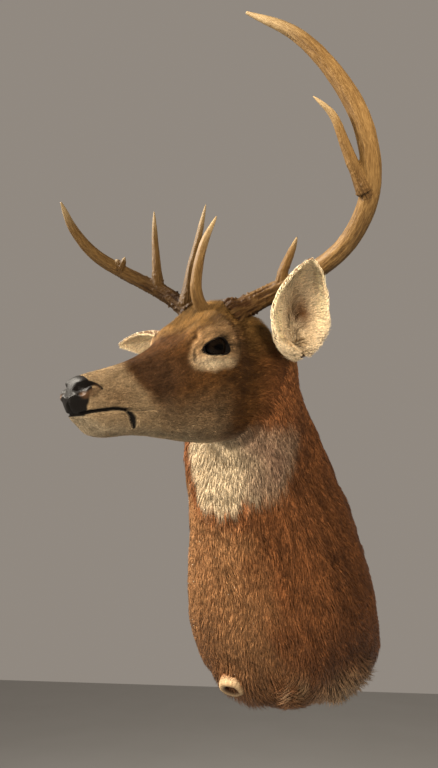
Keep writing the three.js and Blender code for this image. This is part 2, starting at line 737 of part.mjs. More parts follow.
// The hanger lies in a shallow recess, with a deeper one behind its slot for the head of a screw in the wall.
const THROUGH = 5;
const plateFront = HANGER.sunk + HANGER.thick;
const screwRoom = [HANGER.slot, HANGER.slotHeight].map((size) => size + 2 * HANGER.margin);
const recess = block(HANGER.width + 2 * GAP, HANGER.height + 2 * GAP, -THROUGH, plateFront + GAP)
  .add(block(...screwRoom, -THROUGH, HANGER.recess));
addPart('board', boardSolid(0).subtract(recess), PLYWOOD);
const plate = block(HANGER.width, HANGER.height, HANGER.sunk, plateFront)
  .subtract(block(HANGER.slot, HANGER.slotHeight, -THROUGH, HANGER.recess));
addPart('hanger', plate, STEEL);

const outwards = new THREE.Vector3(0, -1, 0);
const boardFront = new THREE.Vector3(0, -BOARD.thick - GAP / 2, 0);
const hideEdge = trunkShape
  .intersect(halfSpace(boardFront, outwards.clone().negate()))
  .intersect(halfSpace(new THREE.Vector3(0, -EDGE_BACK, 0), outwards))
  .subtract(boardSolid(GAP));
addPart('hide_edge', hideEdge, TRUNK);

let trunk = trunkShape.intersect(halfSpace(boardFront, outwards));
for (const [name, place] of Object.entries(STUMPS)) {
  trunk = trunk.subtract(stump(place, GAP));
  addPart(name, stump(place, 0), CREAM);
}
addPart('trunk', trunk, TRUNK);

export default mount;
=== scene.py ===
"""The looks of a white-tailed buck shoulder mount: hide, coat, glass eyes, antlers, board and hanger.

Sizes are in millimetres and are turned into metres where a mesh is made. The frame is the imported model's: the wall is
the plane y = 0, +Z is up and +X is the deer's left. The head has its own coordinates (s, w, h): s is the distance
behind the tip of the nose, w is to the deer's left of the head's middle plane, h is above the line of the mouth.
"""

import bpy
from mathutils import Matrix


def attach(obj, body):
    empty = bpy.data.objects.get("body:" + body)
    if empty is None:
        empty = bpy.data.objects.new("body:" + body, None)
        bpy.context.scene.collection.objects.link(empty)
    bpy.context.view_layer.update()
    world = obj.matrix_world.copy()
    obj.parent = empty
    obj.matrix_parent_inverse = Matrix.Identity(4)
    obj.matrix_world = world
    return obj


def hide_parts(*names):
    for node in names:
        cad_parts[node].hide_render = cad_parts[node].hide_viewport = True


bl_info = {
    "name": "Deer Shoulder Mount",
    "version": (1, 0, 0),
    "blender": (4, 5, 0),
    "location": "View3D > Sidebar > Deer Mount",
    "description": "Makes the hide, coat, eyes, antlers and board of a white-tailed buck shoulder mount",
    "category": "Add Mesh",
}

import itertools

import bpy
import numpy as np
from mathutils import Matrix

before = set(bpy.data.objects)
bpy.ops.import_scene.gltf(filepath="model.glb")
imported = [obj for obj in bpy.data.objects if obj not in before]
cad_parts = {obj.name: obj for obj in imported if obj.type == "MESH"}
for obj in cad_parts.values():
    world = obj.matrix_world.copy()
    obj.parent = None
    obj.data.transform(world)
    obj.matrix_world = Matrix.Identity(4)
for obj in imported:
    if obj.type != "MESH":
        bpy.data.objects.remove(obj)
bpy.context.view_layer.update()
MM = 0.001

# ---- the head's place and the lines along it, as the frame has them -----------------------------------------------

EYE_LINE = (195.0, 62.0)
HEAD_AT = np.array([-24.0, -454.0, 243.0])
HEAD_TURN = np.radians([22.0, -18.7, -9.0])        # yaw to the deer's right, pitch, roll

HEAD_LINES = {
    "top": [(0, 20), (5, 33), (14, 42), (30, 46), (60, 51), (100, 60), (140, 75), (175, 91), (205, 105), (235, 114),
            (262, 115), (290, 108)],
    "brow_width": [(0, 8), (14, 15), (30, 14), (60, 12), (100, 15), (140, 22), (170, 33), (195, 42), (225, 40),
                   (262, 38), (290, 36)],
    "brow_drop": [(0, 3), (30, 6), (60, 5), (100, 5), (150, 7), (195, 6), (240, 8), (290, 10)],
    "side_width": [(0, 14), (14, 24), (30, 26), (60, 23), (100, 26), (140, 36), (170, 47), (195, 56), (225, 61),
                   (262, 62), (290, 60)],
    "side_height": [(0, 22), (30, 25), (60, 26), (100, 30), (140, 40), (195, 58), (225, 55), (262, 47), (290, 40)],
    "lip_width": [(0, 10), (14, 19), (30, 23), (60, 24), (100, 27), (140, 34), (190, 46), (225, 52), (262, 53)],
    "lip_height": [(0, 8), (30, 4), (60, 3), (100, 2), (140, 3), (190, 4), (225, 0), (262, -6)],
    "jaw_width": [(0, 6), (14, 12), (30, 17), (60, 16), (100, 17), (140, 22), (190, 29), (225, 33), (262, 34)],
    "jaw_height": [(0, 4), (14, -6), (30, -18), (60, -20), (100, -24), (140, -33), (190, -43), (225, -48),
                   (262, -48)],
    "chin": [(0, 3), (10, -2), (22, -18), (38, -27), (60, -28), (100, -33), (140, -42), (190, -54), (225, -60),
             (262, -62)],
}
NOSE_ROUND = 12.0
NOSE_HEIGHT = 21.0
HEAD_RINGS = [255, 235, 215, 195, 175, 155, 130, 100, 70, 45, 28, 18, 12, 8, 5, 2.5, 1]

# Rings of the trunk and neck: uppermost and lowest point as (y, z), middle across, half widths from the top down.
BODY_RINGS = [
    ((0, 188), (0, -216), 0, (96, 132, 150, 126)),
    ((-40, 198), (-40, -222), -3, (95, 134, 156, 124)),
    ((-72, 208), (-98, -225), -6, (94, 136, 159, 110)),
    ((-105, 220), (-168, -198), -2, (92, 132, 144, 98)),
    ((-140, 236), (-226, -122), -1, (88, 119, 124, 82)),
    ((-180, 254), (-274, -40), -3, (84, 112, 100, 66)),
    ((-225, 273), (-312, 40), -4, (76, 104, 88, 56)),
]
# Rings that fan from the neck to the jaw: uppermost and lowest point as (s, h), and half widths.
POLL_RINGS = [
    ((340, 66), (268, -84), (54, 80, 74, 45)),
    ((318, 90), (266, -66), (45, 70, 68, 40)),
]
RING_POINTS = 10


# ---- curves and frames -----------------------------------------------------------------------------------------

def unit(vectors):
    """Vectors divided by their own lengths."""
    return vectors / np.maximum(np.linalg.norm(vectors, axis=-1, keepdims=True), 1e-9)


def smooth(low, high, x):
    """0 below low, 1 above high, and an S-curve between them."""
    t = np.clip((x - low) / (high - low), 0, 1)
    return t * t * (3 - 2 * t)


def bell(x, width):
    """1 where x is 0, falling as the exponential of minus (x over width) squared."""
    return np.exp(-(x / width) ** 2)


def between(pairs, x):
    """Straight lines through (x, value) pairs, level beyond them."""
    places, values = zip(*pairs)
    return np.interp(x, places, values)


def monotone(pairs):
    """The monotone cubic through (x, value) pairs, as a function: it never overshoots them."""
    x, y = np.array(pairs, float).T
    width = np.diff(x)
    step = np.diff(y) / width
    slope = np.concatenate([step[:1], np.zeros(len(x) - 2), step[-1:]])
    before, after = step[:-1], step[1:]
    same = before * after > 0
    safe_before, safe_after = np.where(same, before, 1), np.where(same, after, 1)
    mean = 3 * (width[:-1] + width[1:]) / (
        (2 * width[1:] + width[:-1]) / safe_before + (width[1:] + 2 * width[:-1]) / safe_after)
    slope[1:-1] = np.where(same, mean, 0)

    def value(at):
        t = np.clip(at, x[0], x[-1])
        i = np.clip(np.searchsorted(x, t) - 1, 0, len(x) - 2)
        u = (t - x[i]) / width[i]
        rise = u * u * (3 - 2 * u)
        return y[i] + (y[i + 1] - y[i]) * rise + width[i] * (
            slope[i] * u * (1 - u) ** 2 - slope[i + 1] * u * u * (1 - u))
    return value


def turned(vector, axis, angle):
    """vector turned about a unit axis by an angle."""
    return (vector * np.cos(angle) + np.cross(axis, vector) * np.sin(angle)
            + axis * (vector @ axis) * (1 - np.cos(angle)))


def head_axes():
    """The head's forward, left and upward directions: yaw and pitch aim it, and roll turns it about its aim."""
    yaw, pitch, roll = HEAD_TURN
    forward = np.array([-np.sin(yaw) * np.cos(pitch), -np.cos(yaw) * np.cos(pitch), np.sin(pitch)])
    left = turned(np.array([np.cos(yaw), -np.sin(yaw), 0]), forward, roll)
    return np.array([forward, left, np.cross(forward, left)])


HEAD_AXES = head_axes()


def on_head(s, w, h):
    """Points of the head, given as (s, w, h), in the frame."""
    local = np.stack(np.broadcast_arrays(EYE_LINE[0] - s, w, h - EYE_LINE[1]), -1).astype(float)
    return HEAD_AT + local @ HEAD_AXES


def along_head(s, w, h):
    """A direction given as (s, w, h), in the frame."""
    return np.array([-s, w, h], float) @ HEAD_AXES


def head_place(points):
    """The inverse of on_head: s, w and h of points of the frame."""
    local = (points - HEAD_AT) @ HEAD_AXES.T
    return EYE_LINE[0] - local[..., 0], local[..., 1], local[..., 2] + EYE_LINE[1]


def ring_weights(at, count):
    """Weights of a ring's points at each position on it, for the closed cubic B-spline that passes through them."""
    circulant = np.zeros((count, count))
    here = np.arange(count)
    circulant[here, here] = 4 / 6
    circulant[here, (here + 1) % count] = 1 / 6
    circulant[here, (here - 1) % count] = 1 / 6
    cell = np.floor(at).astype(int)
    u = (at - cell)[:, None]
    blend = np.hstack([(1 - u) ** 3, 3 * u ** 3 - 6 * u ** 2 + 4, -3 * u ** 3 + 3 * u ** 2 + 3 * u + 1, u ** 3]) / 6
    weights = np.zeros((len(at), count))
    row = np.arange(len(at))[:, None]
    np.add.at(weights, (row, (cell[:, None] + np.arange(-1, 3)) % count), blend)
    return weights @ np.linalg.inv(circulant)


def natural_cubic(knots, rows, at):
    """The natural cubic through rows of points at the knots, at each distance in at."""
    width = np.diff(knots)
    count = len(knots)
    system = np.eye(count)
    right = np.zeros((count,) + rows.shape[1:])
    inner = np.arange(1, count - 1)
    system[inner, inner - 1] = width[:-1]
    system[inner, inner] = 2 * (width[:-1] + width[1:])
    system[inner, inner + 1] = width[1:]
    chord = np.diff(rows, axis=0) / width.reshape(-1, *[1] * (rows.ndim - 1))
    right[1:-1] = 6 * np.diff(chord, axis=0)
    bend = np.tensordot(np.linalg.inv(system), right, 1)
    i = np.clip(np.searchsorted(knots, at, side="right") - 1, 0, count - 2)
    shape = (-1,) + (1,) * (rows.ndim - 1)
    span = width[i].reshape(shape)
    after = ((at - knots[i]) / width[i]).reshape(shape)
    before = 1 - after
    return (rows[i] * before + rows[i + 1] * after
            + bend[i] * (before ** 3 - before) * span ** 2 / 6 + bend[i + 1] * (after ** 3 - after) * span ** 2 / 6)


def noise(points, seed=0):
    """Value noise from -1 to 1: a random number at each corner of a unit lattice, blended smoothly between them."""
    cell = np.floor(points).astype(np.int64)
    share = points - cell
    share = share * share * (3 - 2 * share)
    total = 0
    for corner in itertools.product((0, 1), repeat=3):
        at = cell + corner
        mixed = (at[..., 0] * 73856093) ^ (at[..., 1] * 19349663) ^ (at[..., 2] * 83492791) ^ (seed * 668265263 + 97)
        mixed = (mixed ^ (mixed >> 13)) * 1274126177 & 0xFFFFFFFF
        mixed = (mixed ^ (mixed >> 16)) & 0xFFFF
        weight = np.prod(np.where(corner, share, 1 - share), axis=-1)
        total = total + (mixed / 32767.5 - 1) * weight
    return total


# ---- the body as one grid of points ------------------------------------------------------------------------------

def whole_ring(half):
    """A ring from its left half, top to bottom, and the same mirrored: half holds (w, ...) rows."""
    mirrored = half[-2:0:-1] * np.r_[-1, np.ones(half.shape[1] - 1)]
    return np.vstack([half, mirrored])


def flat_ring(top, bottom, half_widths):
    """A ring in a plane: its middle line runs from top to bottom by half a cosine, its width as given."""
    share = (1 - np.cos(2 * np.pi * np.arange(RING_POINTS // 2 + 1) / RING_POINTS)) / 2
    middle = np.outer(1 - share, top) + np.outer(share, bottom)
    return whole_ring(np.column_stack([(0, *half_widths, 0), middle]))


def head_ring(s, lines):
    """A ring of the head at s from its lines. Near the nose it shrinks as a ball does towards its pole."""
    at = {name: float(value(s)) for name, value in lines.items()}
    depth = min(s / NOSE_ROUND, 1)
    shrink = np.sqrt(1 - (1 - depth) ** 2)
    half = np.array([
        (0, at["top"]),
        (at["brow_width"], at["top"] - at["brow_drop"]),
        (at["side_width"], at["side_height"]),
        (at["lip_width"], at["lip_height"]),
        (at["jaw_width"], at["jaw_height"]),
        (0, at["chin"]),
    ])
    ring = whole_ring(half) * shrink
    return on_head(s, ring[:, 0], NOSE_HEIGHT * (1 - shrink) + ring[:, 1])


def body_rings():
    """All rings from the wall to the nose, as points of the frame."""
    rings = []
    for top, bottom, middle, half in BODY_RINGS:
        w, y, z = flat_ring(top, bottom, half).T
        rings.append(np.column_stack([middle + w, y, z]))
    for top, bottom, half in POLL_RINGS:
        w, s, h = flat_ring(top, bottom, half).T
        rings.append(on_head(s, w, h))
    lines = {name: monotone(pairs) for name, pairs in HEAD_LINES.items()}
    rings += [head_ring(s, lines) for s in HEAD_RINGS]
    return np.array(rings)


RINGS = body_rings()
KNOTS = np.r_[0, np.cumsum(np.linalg.norm(np.diff(RINGS, axis=0), axis=2).mean(axis=1))]


def spaced(start, end, spacing):
    """Positions from start to end whose steps follow spacing(position): even steps of its running total."""
    fine = np.linspace(start, end, 4000)
    run = np.r_[0, np.cumsum(np.diff(fine) / spacing((fine[1:] + fine[:-1]) / 2))]
    return np.interp(np.linspace(0, run[-1], int(run[-1]) + 1), run, fine)


# ---- sizes and colours that a user may change ---------------------------------------------------------------------

def tone(code):
    """A colour written as #rrggbb, as linear red, green and blue."""
    value = np.array([int(code[i:i + 2], 16) for i in (1, 3, 5)]) / 255
    return np.where(value <= 0.04045, value / 12.92, ((value + 0.055) / 1.055) ** 2.4)


def length(name, description, default_mm):
    """A length that a user may change, from its default in mm."""
    return bpy.props.FloatProperty(name=name, description=description, default=default_mm * MM, unit="LENGTH",
                                   min=0, soft_max=0.2, precision=4)


def paint(name, description, code):
    """A colour that a user may change, from its default as #rrggbb."""
    return bpy.props.FloatVectorProperty(name=name, description=description, default=tuple(tone(code)),
                                         subtype="COLOR", size=3, min=0, max=1)


class DEER_PG_coat(bpy.types.PropertyGroup):
    neck_depth: length("Neck coat depth", "How far the skin of neck and trunk lies inside the coat's tips", 7)
    face_depth: length("Face coat depth", "How far the skin of the face lies inside the coat's tips", 1.6)
    neck_hair: length("Neck hair", "Length of a lock on the neck and trunk", 27)
    cheek_hair: length("Cheek hair", "Length of a tuft on the cheeks", 9)
    muzzle_hair: length("Muzzle hair", "Length of a tuft on the muzzle", 4)
    ear_hair: length("Ear hair", "Length of a tuft inside an ear", 13)
    seed: bpy.props.IntProperty(name="Seed", description="Start of the random draws", default=7, min=0)
    amount: bpy.props.FloatProperty(name="Amount", description="Share of the tufts that are made", default=1.0,
                                    min=0.01, max=1.0, subtype="FACTOR")


class DEER_PG_colours(bpy.types.PropertyGroup):
    neck: paint("Neck", "Reddish brown of the neck and shoulder", "#946039")
    # Partly paler hair and partly painted light: used only on the lit front and right of the chest.
    front: paint("Chest front", "Lighter hair down the front of the chest", "#bd9163")
    spine: paint("Spine", "Darker hair along the top of the neck", "#5f3b22")
    brisket: paint("Brisket", "Dark hair low on the chest", "#4a2c1a")
    cheek: paint("Cheek", "Golden brown of the cheek", "#7a532c")
    forehead: paint("Forehead", "Golden hair of the forehead", "#9c7846")
    band: paint("Band", "Dark grey-brown band across the face", "#5f442e")
    cream: paint("Cream", "Cream hair of the muzzle", "#bfa580")
    white: paint("White", "White of throat, chin and under the eye", "#decaa8")
    # Painted shade: the throat patch's cream as it looks in shade on the deer's left.
    throat_painted_shade: paint("Throat shade", "Duller cream on the far side of the throat", "#a5836b")
    ring: paint("Eye ring", "Pale hair round the eye", "#b49269")
    bare: paint("Bare skin", "Black skin of nose and lids", "#14110f")
    ear_back: paint("Ear back", "Hair on the back of an ear", "#7a5836")
    # Painted shade: the dark of the ear's hollow, where shade falls inside the cup.
    ear_hollow_painted_shade: paint("Ear hollow", "Brown hollow of an ear", "#6b4420")
    ear_inside: paint("Ear inside", "Cream hair inside an ear", "#ffeac4")
    horn_dark: paint("Antler base", "Dark bone near the burr", "#3f2a18")
    horn: paint("Antler", "Tan bone of the beams", "#86693f")
    horn_tip: paint("Antler tip", "Ivory of the polished tips", "#b8a27a")
    iris: paint("Iris", "Brown of the glass eye", "#070402")


class DEER_PG_mount(bpy.types.PropertyGroup):
    coat: bpy.props.PointerProperty(type=DEER_PG_coat, name="Coat", description="Lengths of the coat")
    colours: bpy.props.PointerProperty(type=DEER_PG_colours, name="Colours", description="Colours of the animal")


def coat():
    """The coat's lengths, as the scene has them."""
    return bpy.context.scene.deer_mount.coat


def hue(name):
    """One of the mount's colours, as the scene has it."""
    return np.array(getattr(bpy.context.scene.deer_mount.colours, name))


# ---- mesh and material helpers ------------------------------------------------------------------------------------

def grid_faces(rows, columns):
    """Quads of a grid of rings. Each row's last column is joined to its first."""
    i, j = np.meshgrid(np.arange(rows - 1), np.arange(columns), indexing="ij")
    following = (j + 1) % columns
    return np.stack([i * columns + j, (i + 1) * columns + j, (i + 1) * columns + following,
                     i * columns + following], -1).reshape(-1, 4)


def capped_tube(points):
    """Vertices, quads and triangles of a closed surface: a grid of rings, with a point that closes each end."""
    rows, columns = points.shape[:2]
    vertices = np.vstack([points.reshape(-1, 3), points[0].mean(axis=0), points[-1].mean(axis=0)])
    j = np.arange(columns)
    following = (j + 1) % columns
    first, last, end = rows * columns, rows * columns + 1, (rows - 1) * columns
    caps = np.vstack([np.column_stack([np.full(columns, first), j, following]),
                      np.column_stack([np.full(columns, last), end + following, end + j])])
    return vertices, grid_faces(rows, columns), caps


def joined(shells):
    """Closed surfaces, each as vertices, quads and triangles, as one: its vertices and its two groups of faces."""
    starts = np.cumsum([0] + [len(vertices) for vertices, _, _ in shells[:-1]])
    return (np.vstack([vertices for vertices, _, _ in shells]),
            [np.vstack([shell[kind] + start for shell, start in zip(shells, starts)]) for kind in (1, 2)])


def outwards(points):
    """The unit normals of a grid of rings, from the differences along and round it."""
    along = np.gradient(points, axis=0)
    across = (np.roll(points, -1, axis=1) - np.roll(points, 1, axis=1)) / 2
    return unit(np.cross(along, across)), along, across


def keep_at_points(mesh, label, values, kind="FLOAT_COLOR"):
    """Stores values at the mesh's points as an attribute: one number each, a colour or a vector."""
    if values.ndim == 1:
        kind = "FLOAT"
    elif kind == "FLOAT_COLOR":
        values = np.column_stack([values, np.ones(len(values))])
    field = {"FLOAT": "value", "FLOAT_COLOR": "color", "FLOAT_VECTOR": "vector"}[kind]
    mesh.attributes.new(label, kind, "POINT").data.foreach_set(field, values.astype(np.float32).ravel())


def make_mesh(name, vertices, face_groups, attributes=(), maps=()):
    """An object from vertices in mm and groups of faces, with attributes of points and UV maps of points."""
    mesh = bpy.data.meshes.new(name)
    loops = np.concatenate([faces.ravel() for faces in face_groups]).astype(np.int32)
    sizes = np.concatenate([np.full(len(faces), faces.shape[1]) for faces in face_groups])
    starts = np.r_[0, np.cumsum(sizes)[:-1]].astype(np.int32)
    mesh.vertices.add(len(vertices))
    mesh.loops.add(len(loops))
    mesh.polygons.add(len(sizes))
    mesh.vertices.foreach_set("co", (vertices * MM).astype(np.float32).ravel())
    mesh.loops.foreach_set("vertex_index", loops)
    mesh.polygons.foreach_set("loop_start", starts)
    mesh.polygons.foreach_set("use_smooth", np.ones(len(sizes), bool))
    for label, values in attributes:
        keep_at_points(mesh, label, values)
    for label, places in maps:
        layer = mesh.uv_layers.new(name=label)
        layer.uv.foreach_set("vector", places[loops].astype(np.float32).ravel())
    mesh.update(calc_edges=True)
    mesh.validate()
    piece = bpy.data.objects.new(name, mesh)
    bpy.context.scene.collection.objects.link(piece)
    return piece


class Value:
    """A socket of a material's nodes, so that shader maths can be written as an expression."""

    def __init__(self, tree, socket):
        self.tree, self.socket = tree, socket

    def maths(self, operation, *others):
        return node(self.tree, "ShaderNodeMath", {"operation": operation}, dict(enumerate((self, *others))))

    def __add__(self, other):
        return self.maths("ADD", other)

    def __radd__(self, other):
        return self.maths("ADD", other)

    def __mul__(self, other):
        return self.maths("MULTIPLY", other)

    def __rmul__(self, other):
        return self.maths("MULTIPLY", other)

    def __sub__(self, other):
        return self.maths("SUBTRACT", other)

    def __rsub__(self, other):
        return node(self.tree, "ShaderNodeMath", {"operation": "SUBTRACT"}, {0: other, 1: self})

    def clamped(self, low, high):
        """0 at low, 1 at high, and an S-curve between them."""
        return node(self.tree, "ShaderNodeMapRange", {"interpolation_type": "SMOOTHSTEP"},
                    {"Value": self, "From Min": low, "From Max": high})


def node(tree, kind, settings=None, inputs=None, output=0):
    """Adds a node: its settings first, then the values or links of its sockets. Returns one of its outputs."""
    made = tree.nodes.new(kind)
    for key, value in (settings or {}).items():
        setattr(made, key, value)
    for key, value in (inputs or {}).items():
        if isinstance(value, Value):
            tree.links.new(value.socket, made.inputs[key])
        else:
            made.inputs[key].default_value = value
    return Value(tree, made.outputs[output])


def mixed(tree, factor, first, second, blend="MIX"):
    """A colour between two: sockets 6 and 7 of a Mix node are its colours, and output 2 its result."""
    colours = {key: (*value, 1) if isinstance(value, (tuple, np.ndarray)) else value
               for key, value in ((6, first), (7, second))}
    return node(tree, "ShaderNodeMix", {"data_type": "RGBA", "blend_type": blend}, {0: factor, **colours}, 2)


def new_material(name, constants):
    """A material and its node tree, with these values on the shader's own sockets."""
    material = bpy.data.materials.new(name)
    material.use_nodes = True
    shader = material.node_tree.nodes["Principled BSDF"]
    for key, value in constants.items():
        shader.inputs[key].default_value = value
    return material, material.node_tree, shader


def feed(tree, shader, **links):
    """Links values to the shader's sockets. An underscore stands for a space in a socket's name."""
    for key, value in links.items():
        tree.links.new(value.socket, shader.inputs[key.replace("_", " ")])


def attribute(tree, name, output):
    """An attribute of the mesh: output 0 is its colour, 1 its vector and 2 its number."""
    return node(tree, "ShaderNodeAttribute", {"attribute_name": name}, output=output)


def place(tree):
    """Object coordinates."""
    return node(tree, "ShaderNodeTexCoord", output=3)


def grain(tree, scale, detail=3.0, vector=None):
    """Noise over Object coordinates, or over another vector."""
    return node(tree, "ShaderNodeTexNoise",
                inputs={"Vector": vector or place(tree), "Scale": scale, "Detail": detail})


def bump(tree, height, strength, distance):
    """A bump of this strength, over a distance in metres."""
    return node(tree, "ShaderNodeBump", inputs={"Height": height, "Strength": strength, "Distance": distance})


def tinted(tree, colour, share, dark, light):
    """A colour multiplied by one between dark and light, so that a pattern shows in it."""
    return mixed(tree, 1.0, colour, mixed(tree, share, dark, light), "MULTIPLY")


def finish_piece(piece, material, slot, *replaced):
    """Gives a piece its material and its body, and hides the nodes of the model that it replaces. Its slot is not used.
    """
    piece.data.materials.append(material)
    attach(piece, "root")
    if replaced:
        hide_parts(*replaced)


# ---- the skin -----------------------------------------------------------------------------------------------------

NOSE_END = KNOTS[-1]
HEAD_FROM = 440                                    # distance t along the body past which points are the head's
ROW_SPACING = [(0, 5.4), (380, 4.4), (480, 1.5), (735, 1.2), (760, 0.7), (NOSE_END, 0.45)]     # mm at each t
COLUMN_SPACING = 0.047                             # in ring positions, closest round the column of the eyes
EYE_COLUMN = 3.1                                   # ring positions from the underside's middle to the eyes
POLL_AT = KNOTS[9]                                 # where the head's first ring stands
THROAT = 5.0                                       # ring position of the underside's middle; the top is 0
EYE = {"s": 198.0, "w": 41.0, "h": 66.0, "radius": 18.0, "forward": 15.0, "down": 6.0}
# The opening between the lids, from the middle of the eye: its corners, their height, the arch over them and the
# sag under them, how far back the arch's top lies, and the exponents of the arch (across, up) and sag.
LID = {"front": 22.0, "rear": 20.0, "low": -5.0, "arch": 17.5, "sag": 4.5, "skew": 4.0, "arch_power": (1.7, 1.8),
       "sag_power": (3.0, 1.6), "sheet": 1.3, "rim": 0.9}
EYE_PATCH_MIDDLE = (192, 66)
EYE_PATCH = [(213, 101), (200, 97), (189, 91), (172, 77), (159, 64), (151, 49), (158, 39), (172, 35), (197, 37),
             (220, 45), (230, 62), (228, 84)]
SLIT = {"s": 163, "h": 56}                         # the middle of the tear slit in front of the eye
MOUTH_LINE = monotone([(5, 2.5), (19, 4), (40, 4), (63, 0.5), (81, -2), (100, -3)])
NOSTRIL_PATH = [(6.5, 24, 1.6), (6.5, 28, 2.4), (9.5, 31.5, 2.8), (14, 33.5, 2.3), (19, 33.5, 1.5), (24, 31, 1.0),
                (27, 27, 0.7)]
ALAR_PATH = [(9, 21, 2.4), (14, 22.5, 3.0), (19, 25.5, 3.0), (22.5, 28, 2.2)]
LIP_FOLD = [(60, 0.5, 1.6), (67, -5, 3.6), (71, -11, 4.6), (75, -19, 2.8)]
STUMPS = [((106, -112, -182), (0.42, -0.35, -0.84)), ((-63, -172, -184), (-0.12, -0.6, -0.79))]
STUMP = {"radius": 20.0, "rim": 8.0, "reach": 22.0, "hollow": 10.0, "woolly_sunk": 9}
BOARD = {"half": 112.0, "up": 164.0, "down": 190.0, "thick": 18.0, "clear": 0.4}
EARS = {
    1: {"root": (330, 83, 54), "tip": (240, 172, 153), "roll": 22.0},
    -1: {"root": (316, -72, 59), "tip": (258, -196, 98), "roll": -22.0},
}
EAR_HALF_WIDTH = monotone([(0, 8), (0.1, 16), (0.2, 27), (0.32, 39), (0.5, 42), (0.7, 33), (0.88, 17.5), (1, 3)])
EAR_WRAP = monotone([(0, 174), (0.1, 140), (0.3, 86), (0.5, 65), (0.75, 51), (1, 42)])
EAR_THICK = monotone([(0, 7), (0.2, 4.2), (0.6, 2.6), (1, 1.4)])
EAR_BOW = 10.0
EAR_SEAT = 0.6
EAR_LOOK = (-0.75, 0.66, 0)
WALL_CLEAR = 0.6                                   # the hide stops this far short of the wall


def hill(x, y, wide, high):
    """1 at (0, 0), falling as the exponential of minus the squares of x over wide and y over high."""
    return np.exp(-(x / wide) ** 2 - (y / high) ** 2)


def near_path(x, y, path):
    """How far points are outside a band of changing half width along a path of (x, y, half width)."""
    least = np.full(np.shape(x), 1e9)
    for (x0, y0, r0), (x1, y1, r1) in zip(path, path[1:]):
        dx, dy = x1 - x0, y1 - y0
        t = np.clip(((x - x0) * dx + (y - y0) * dy) / (dx * dx + dy * dy), 0, 1)
        least = np.minimum(least, np.hypot(x - x0 - t * dx, y - y0 - t * dy) - (r0 + t * (r1 - r0)))
    return least


def eye_frame(side):
    """The middle of an eye, and the directions it looks in, forwards along the lids, and up."""
    forward, down = np.radians([EYE["forward"], EYE["down"]])
    gaze = unit(along_head(-np.sin(forward), side * np.cos(forward), -np.sin(down)))
    front = unit(HEAD_AXES[0] - (HEAD_AXES[0] @ gaze) * gaze)
    up = np.cross(gaze, front)
    return on_head(EYE["s"], side * EYE["w"], EYE["h"]), gaze, front, up * np.sign(up @ HEAD_AXES[2])


def lid_opening(x, y):
    """1 on the edge of the opening between the lids, less inside it: a skewed arch over a shallow sag."""
    up = y - LID["low"]
    moved = x + LID["skew"] * np.clip(up / LID["arch"], 0, 1.3)
    across = np.abs(np.where(moved > 0, moved / LID["front"], moved / LID["rear"]))
    over = across ** LID["arch_power"][0] + np.maximum(up / LID["arch"], 0) ** LID["arch_power"][1]
    below = across ** LID["sag_power"][0] + np.maximum(-up / LID["sag"], 0) ** LID["sag_power"][1]
    return np.where(up > 0, over, below) ** (1 / 1.8)


def lid_line(steps):
    """Points round the opening between the lids, at the edge of it."""
    turn = np.linspace(0, 2 * np.pi, steps, endpoint=False)
    reach = np.zeros(steps)
    for _ in range(40):
        x, y = reach * np.cos(turn), LID["low"] + 2 + reach * np.sin(turn) * 0.8
        reach = reach + 1.2 * np.clip(1 - lid_opening(x, y), -1, 1) * 6
        reach = np.maximum(reach, 0.5)
    return x, y


def eye_patch(s, h):
    """1 on the edge of the pale patch round an eye, less inside it: a distance over the patch's own reach."""
    middle_s, middle_h = EYE_PATCH_MIDDLE
    points = np.array(EYE_PATCH, float) - EYE_PATCH_MIDDLE
    angle = np.arctan2(points[:, 1], points[:, 0])
    order = np.argsort(angle)
    reach = np.hypot(*points.T)[order]
    there = np.arctan2(h - middle_h, s - middle_s)
    return np.hypot(s - middle_s, h - middle_h) / np.interp(there, angle[order], reach, period=2 * np.pi)


def from_slit(s, h):
    """How far behind the tear slit points are. The slit leans back by a fifth of its height."""
    return s - SLIT["s"] - 0.2 * (h - SLIT["h"])


def eye_shares(points, side):
    """Points beside an eye as distances forwards and up from its middle and out along its gaze."""
    centre, gaze, front, up = eye_frame(side)
    local = points - centre
    return local @ front, local @ up, local @ gaze


def muzzle_relief(s, a, h):
    """How far nose, lips and chin stand out, in mm: grooves and swellings added together."""
    mouth = MOUTH_LINE(s)
    groove = -3.4 * bell(h - mouth, 1.5) * smooth(3, 9, s) * (1 - 0.75 * smooth(64, 72, s)) \
        * (1 - smooth(96, 103, s))
    upper_lip = 1.3 * hill(s - 42, h - mouth - 8, 30, 7) * smooth(6, 14, s)
    lower_lip = 0.9 * hill(s - 40, h - mouth + 6, 26, 5)
    from_nostril = near_path(s, h, NOSTRIL_PATH)
    nostril = -3.8 * smooth(1.6, -2.2, from_nostril) * smooth(4, 10, a)
    wing = 0.9 * smooth(3.5, -2.4, near_path(s, h, ALAR_PATH)) * smooth(7, 13, a)
    wing_top = 0.6 * smooth(3.6, 0.0, np.abs(from_nostril - 2.6)) * smooth(6, 12, a) * smooth(22, 15, s)
    philtrum = -1.2 * bell(a, 1.5) * smooth(26, 14, h) * smooth(14, 4, s) * smooth(2, 6, h)
    fold = -2.6 * smooth(1.6, -1.8, near_path(s, h, LIP_FOLD)) * smooth(10, 14, a)
    return groove + upper_lip + lower_lip + nostril + wing + wing_top + philtrum + fold


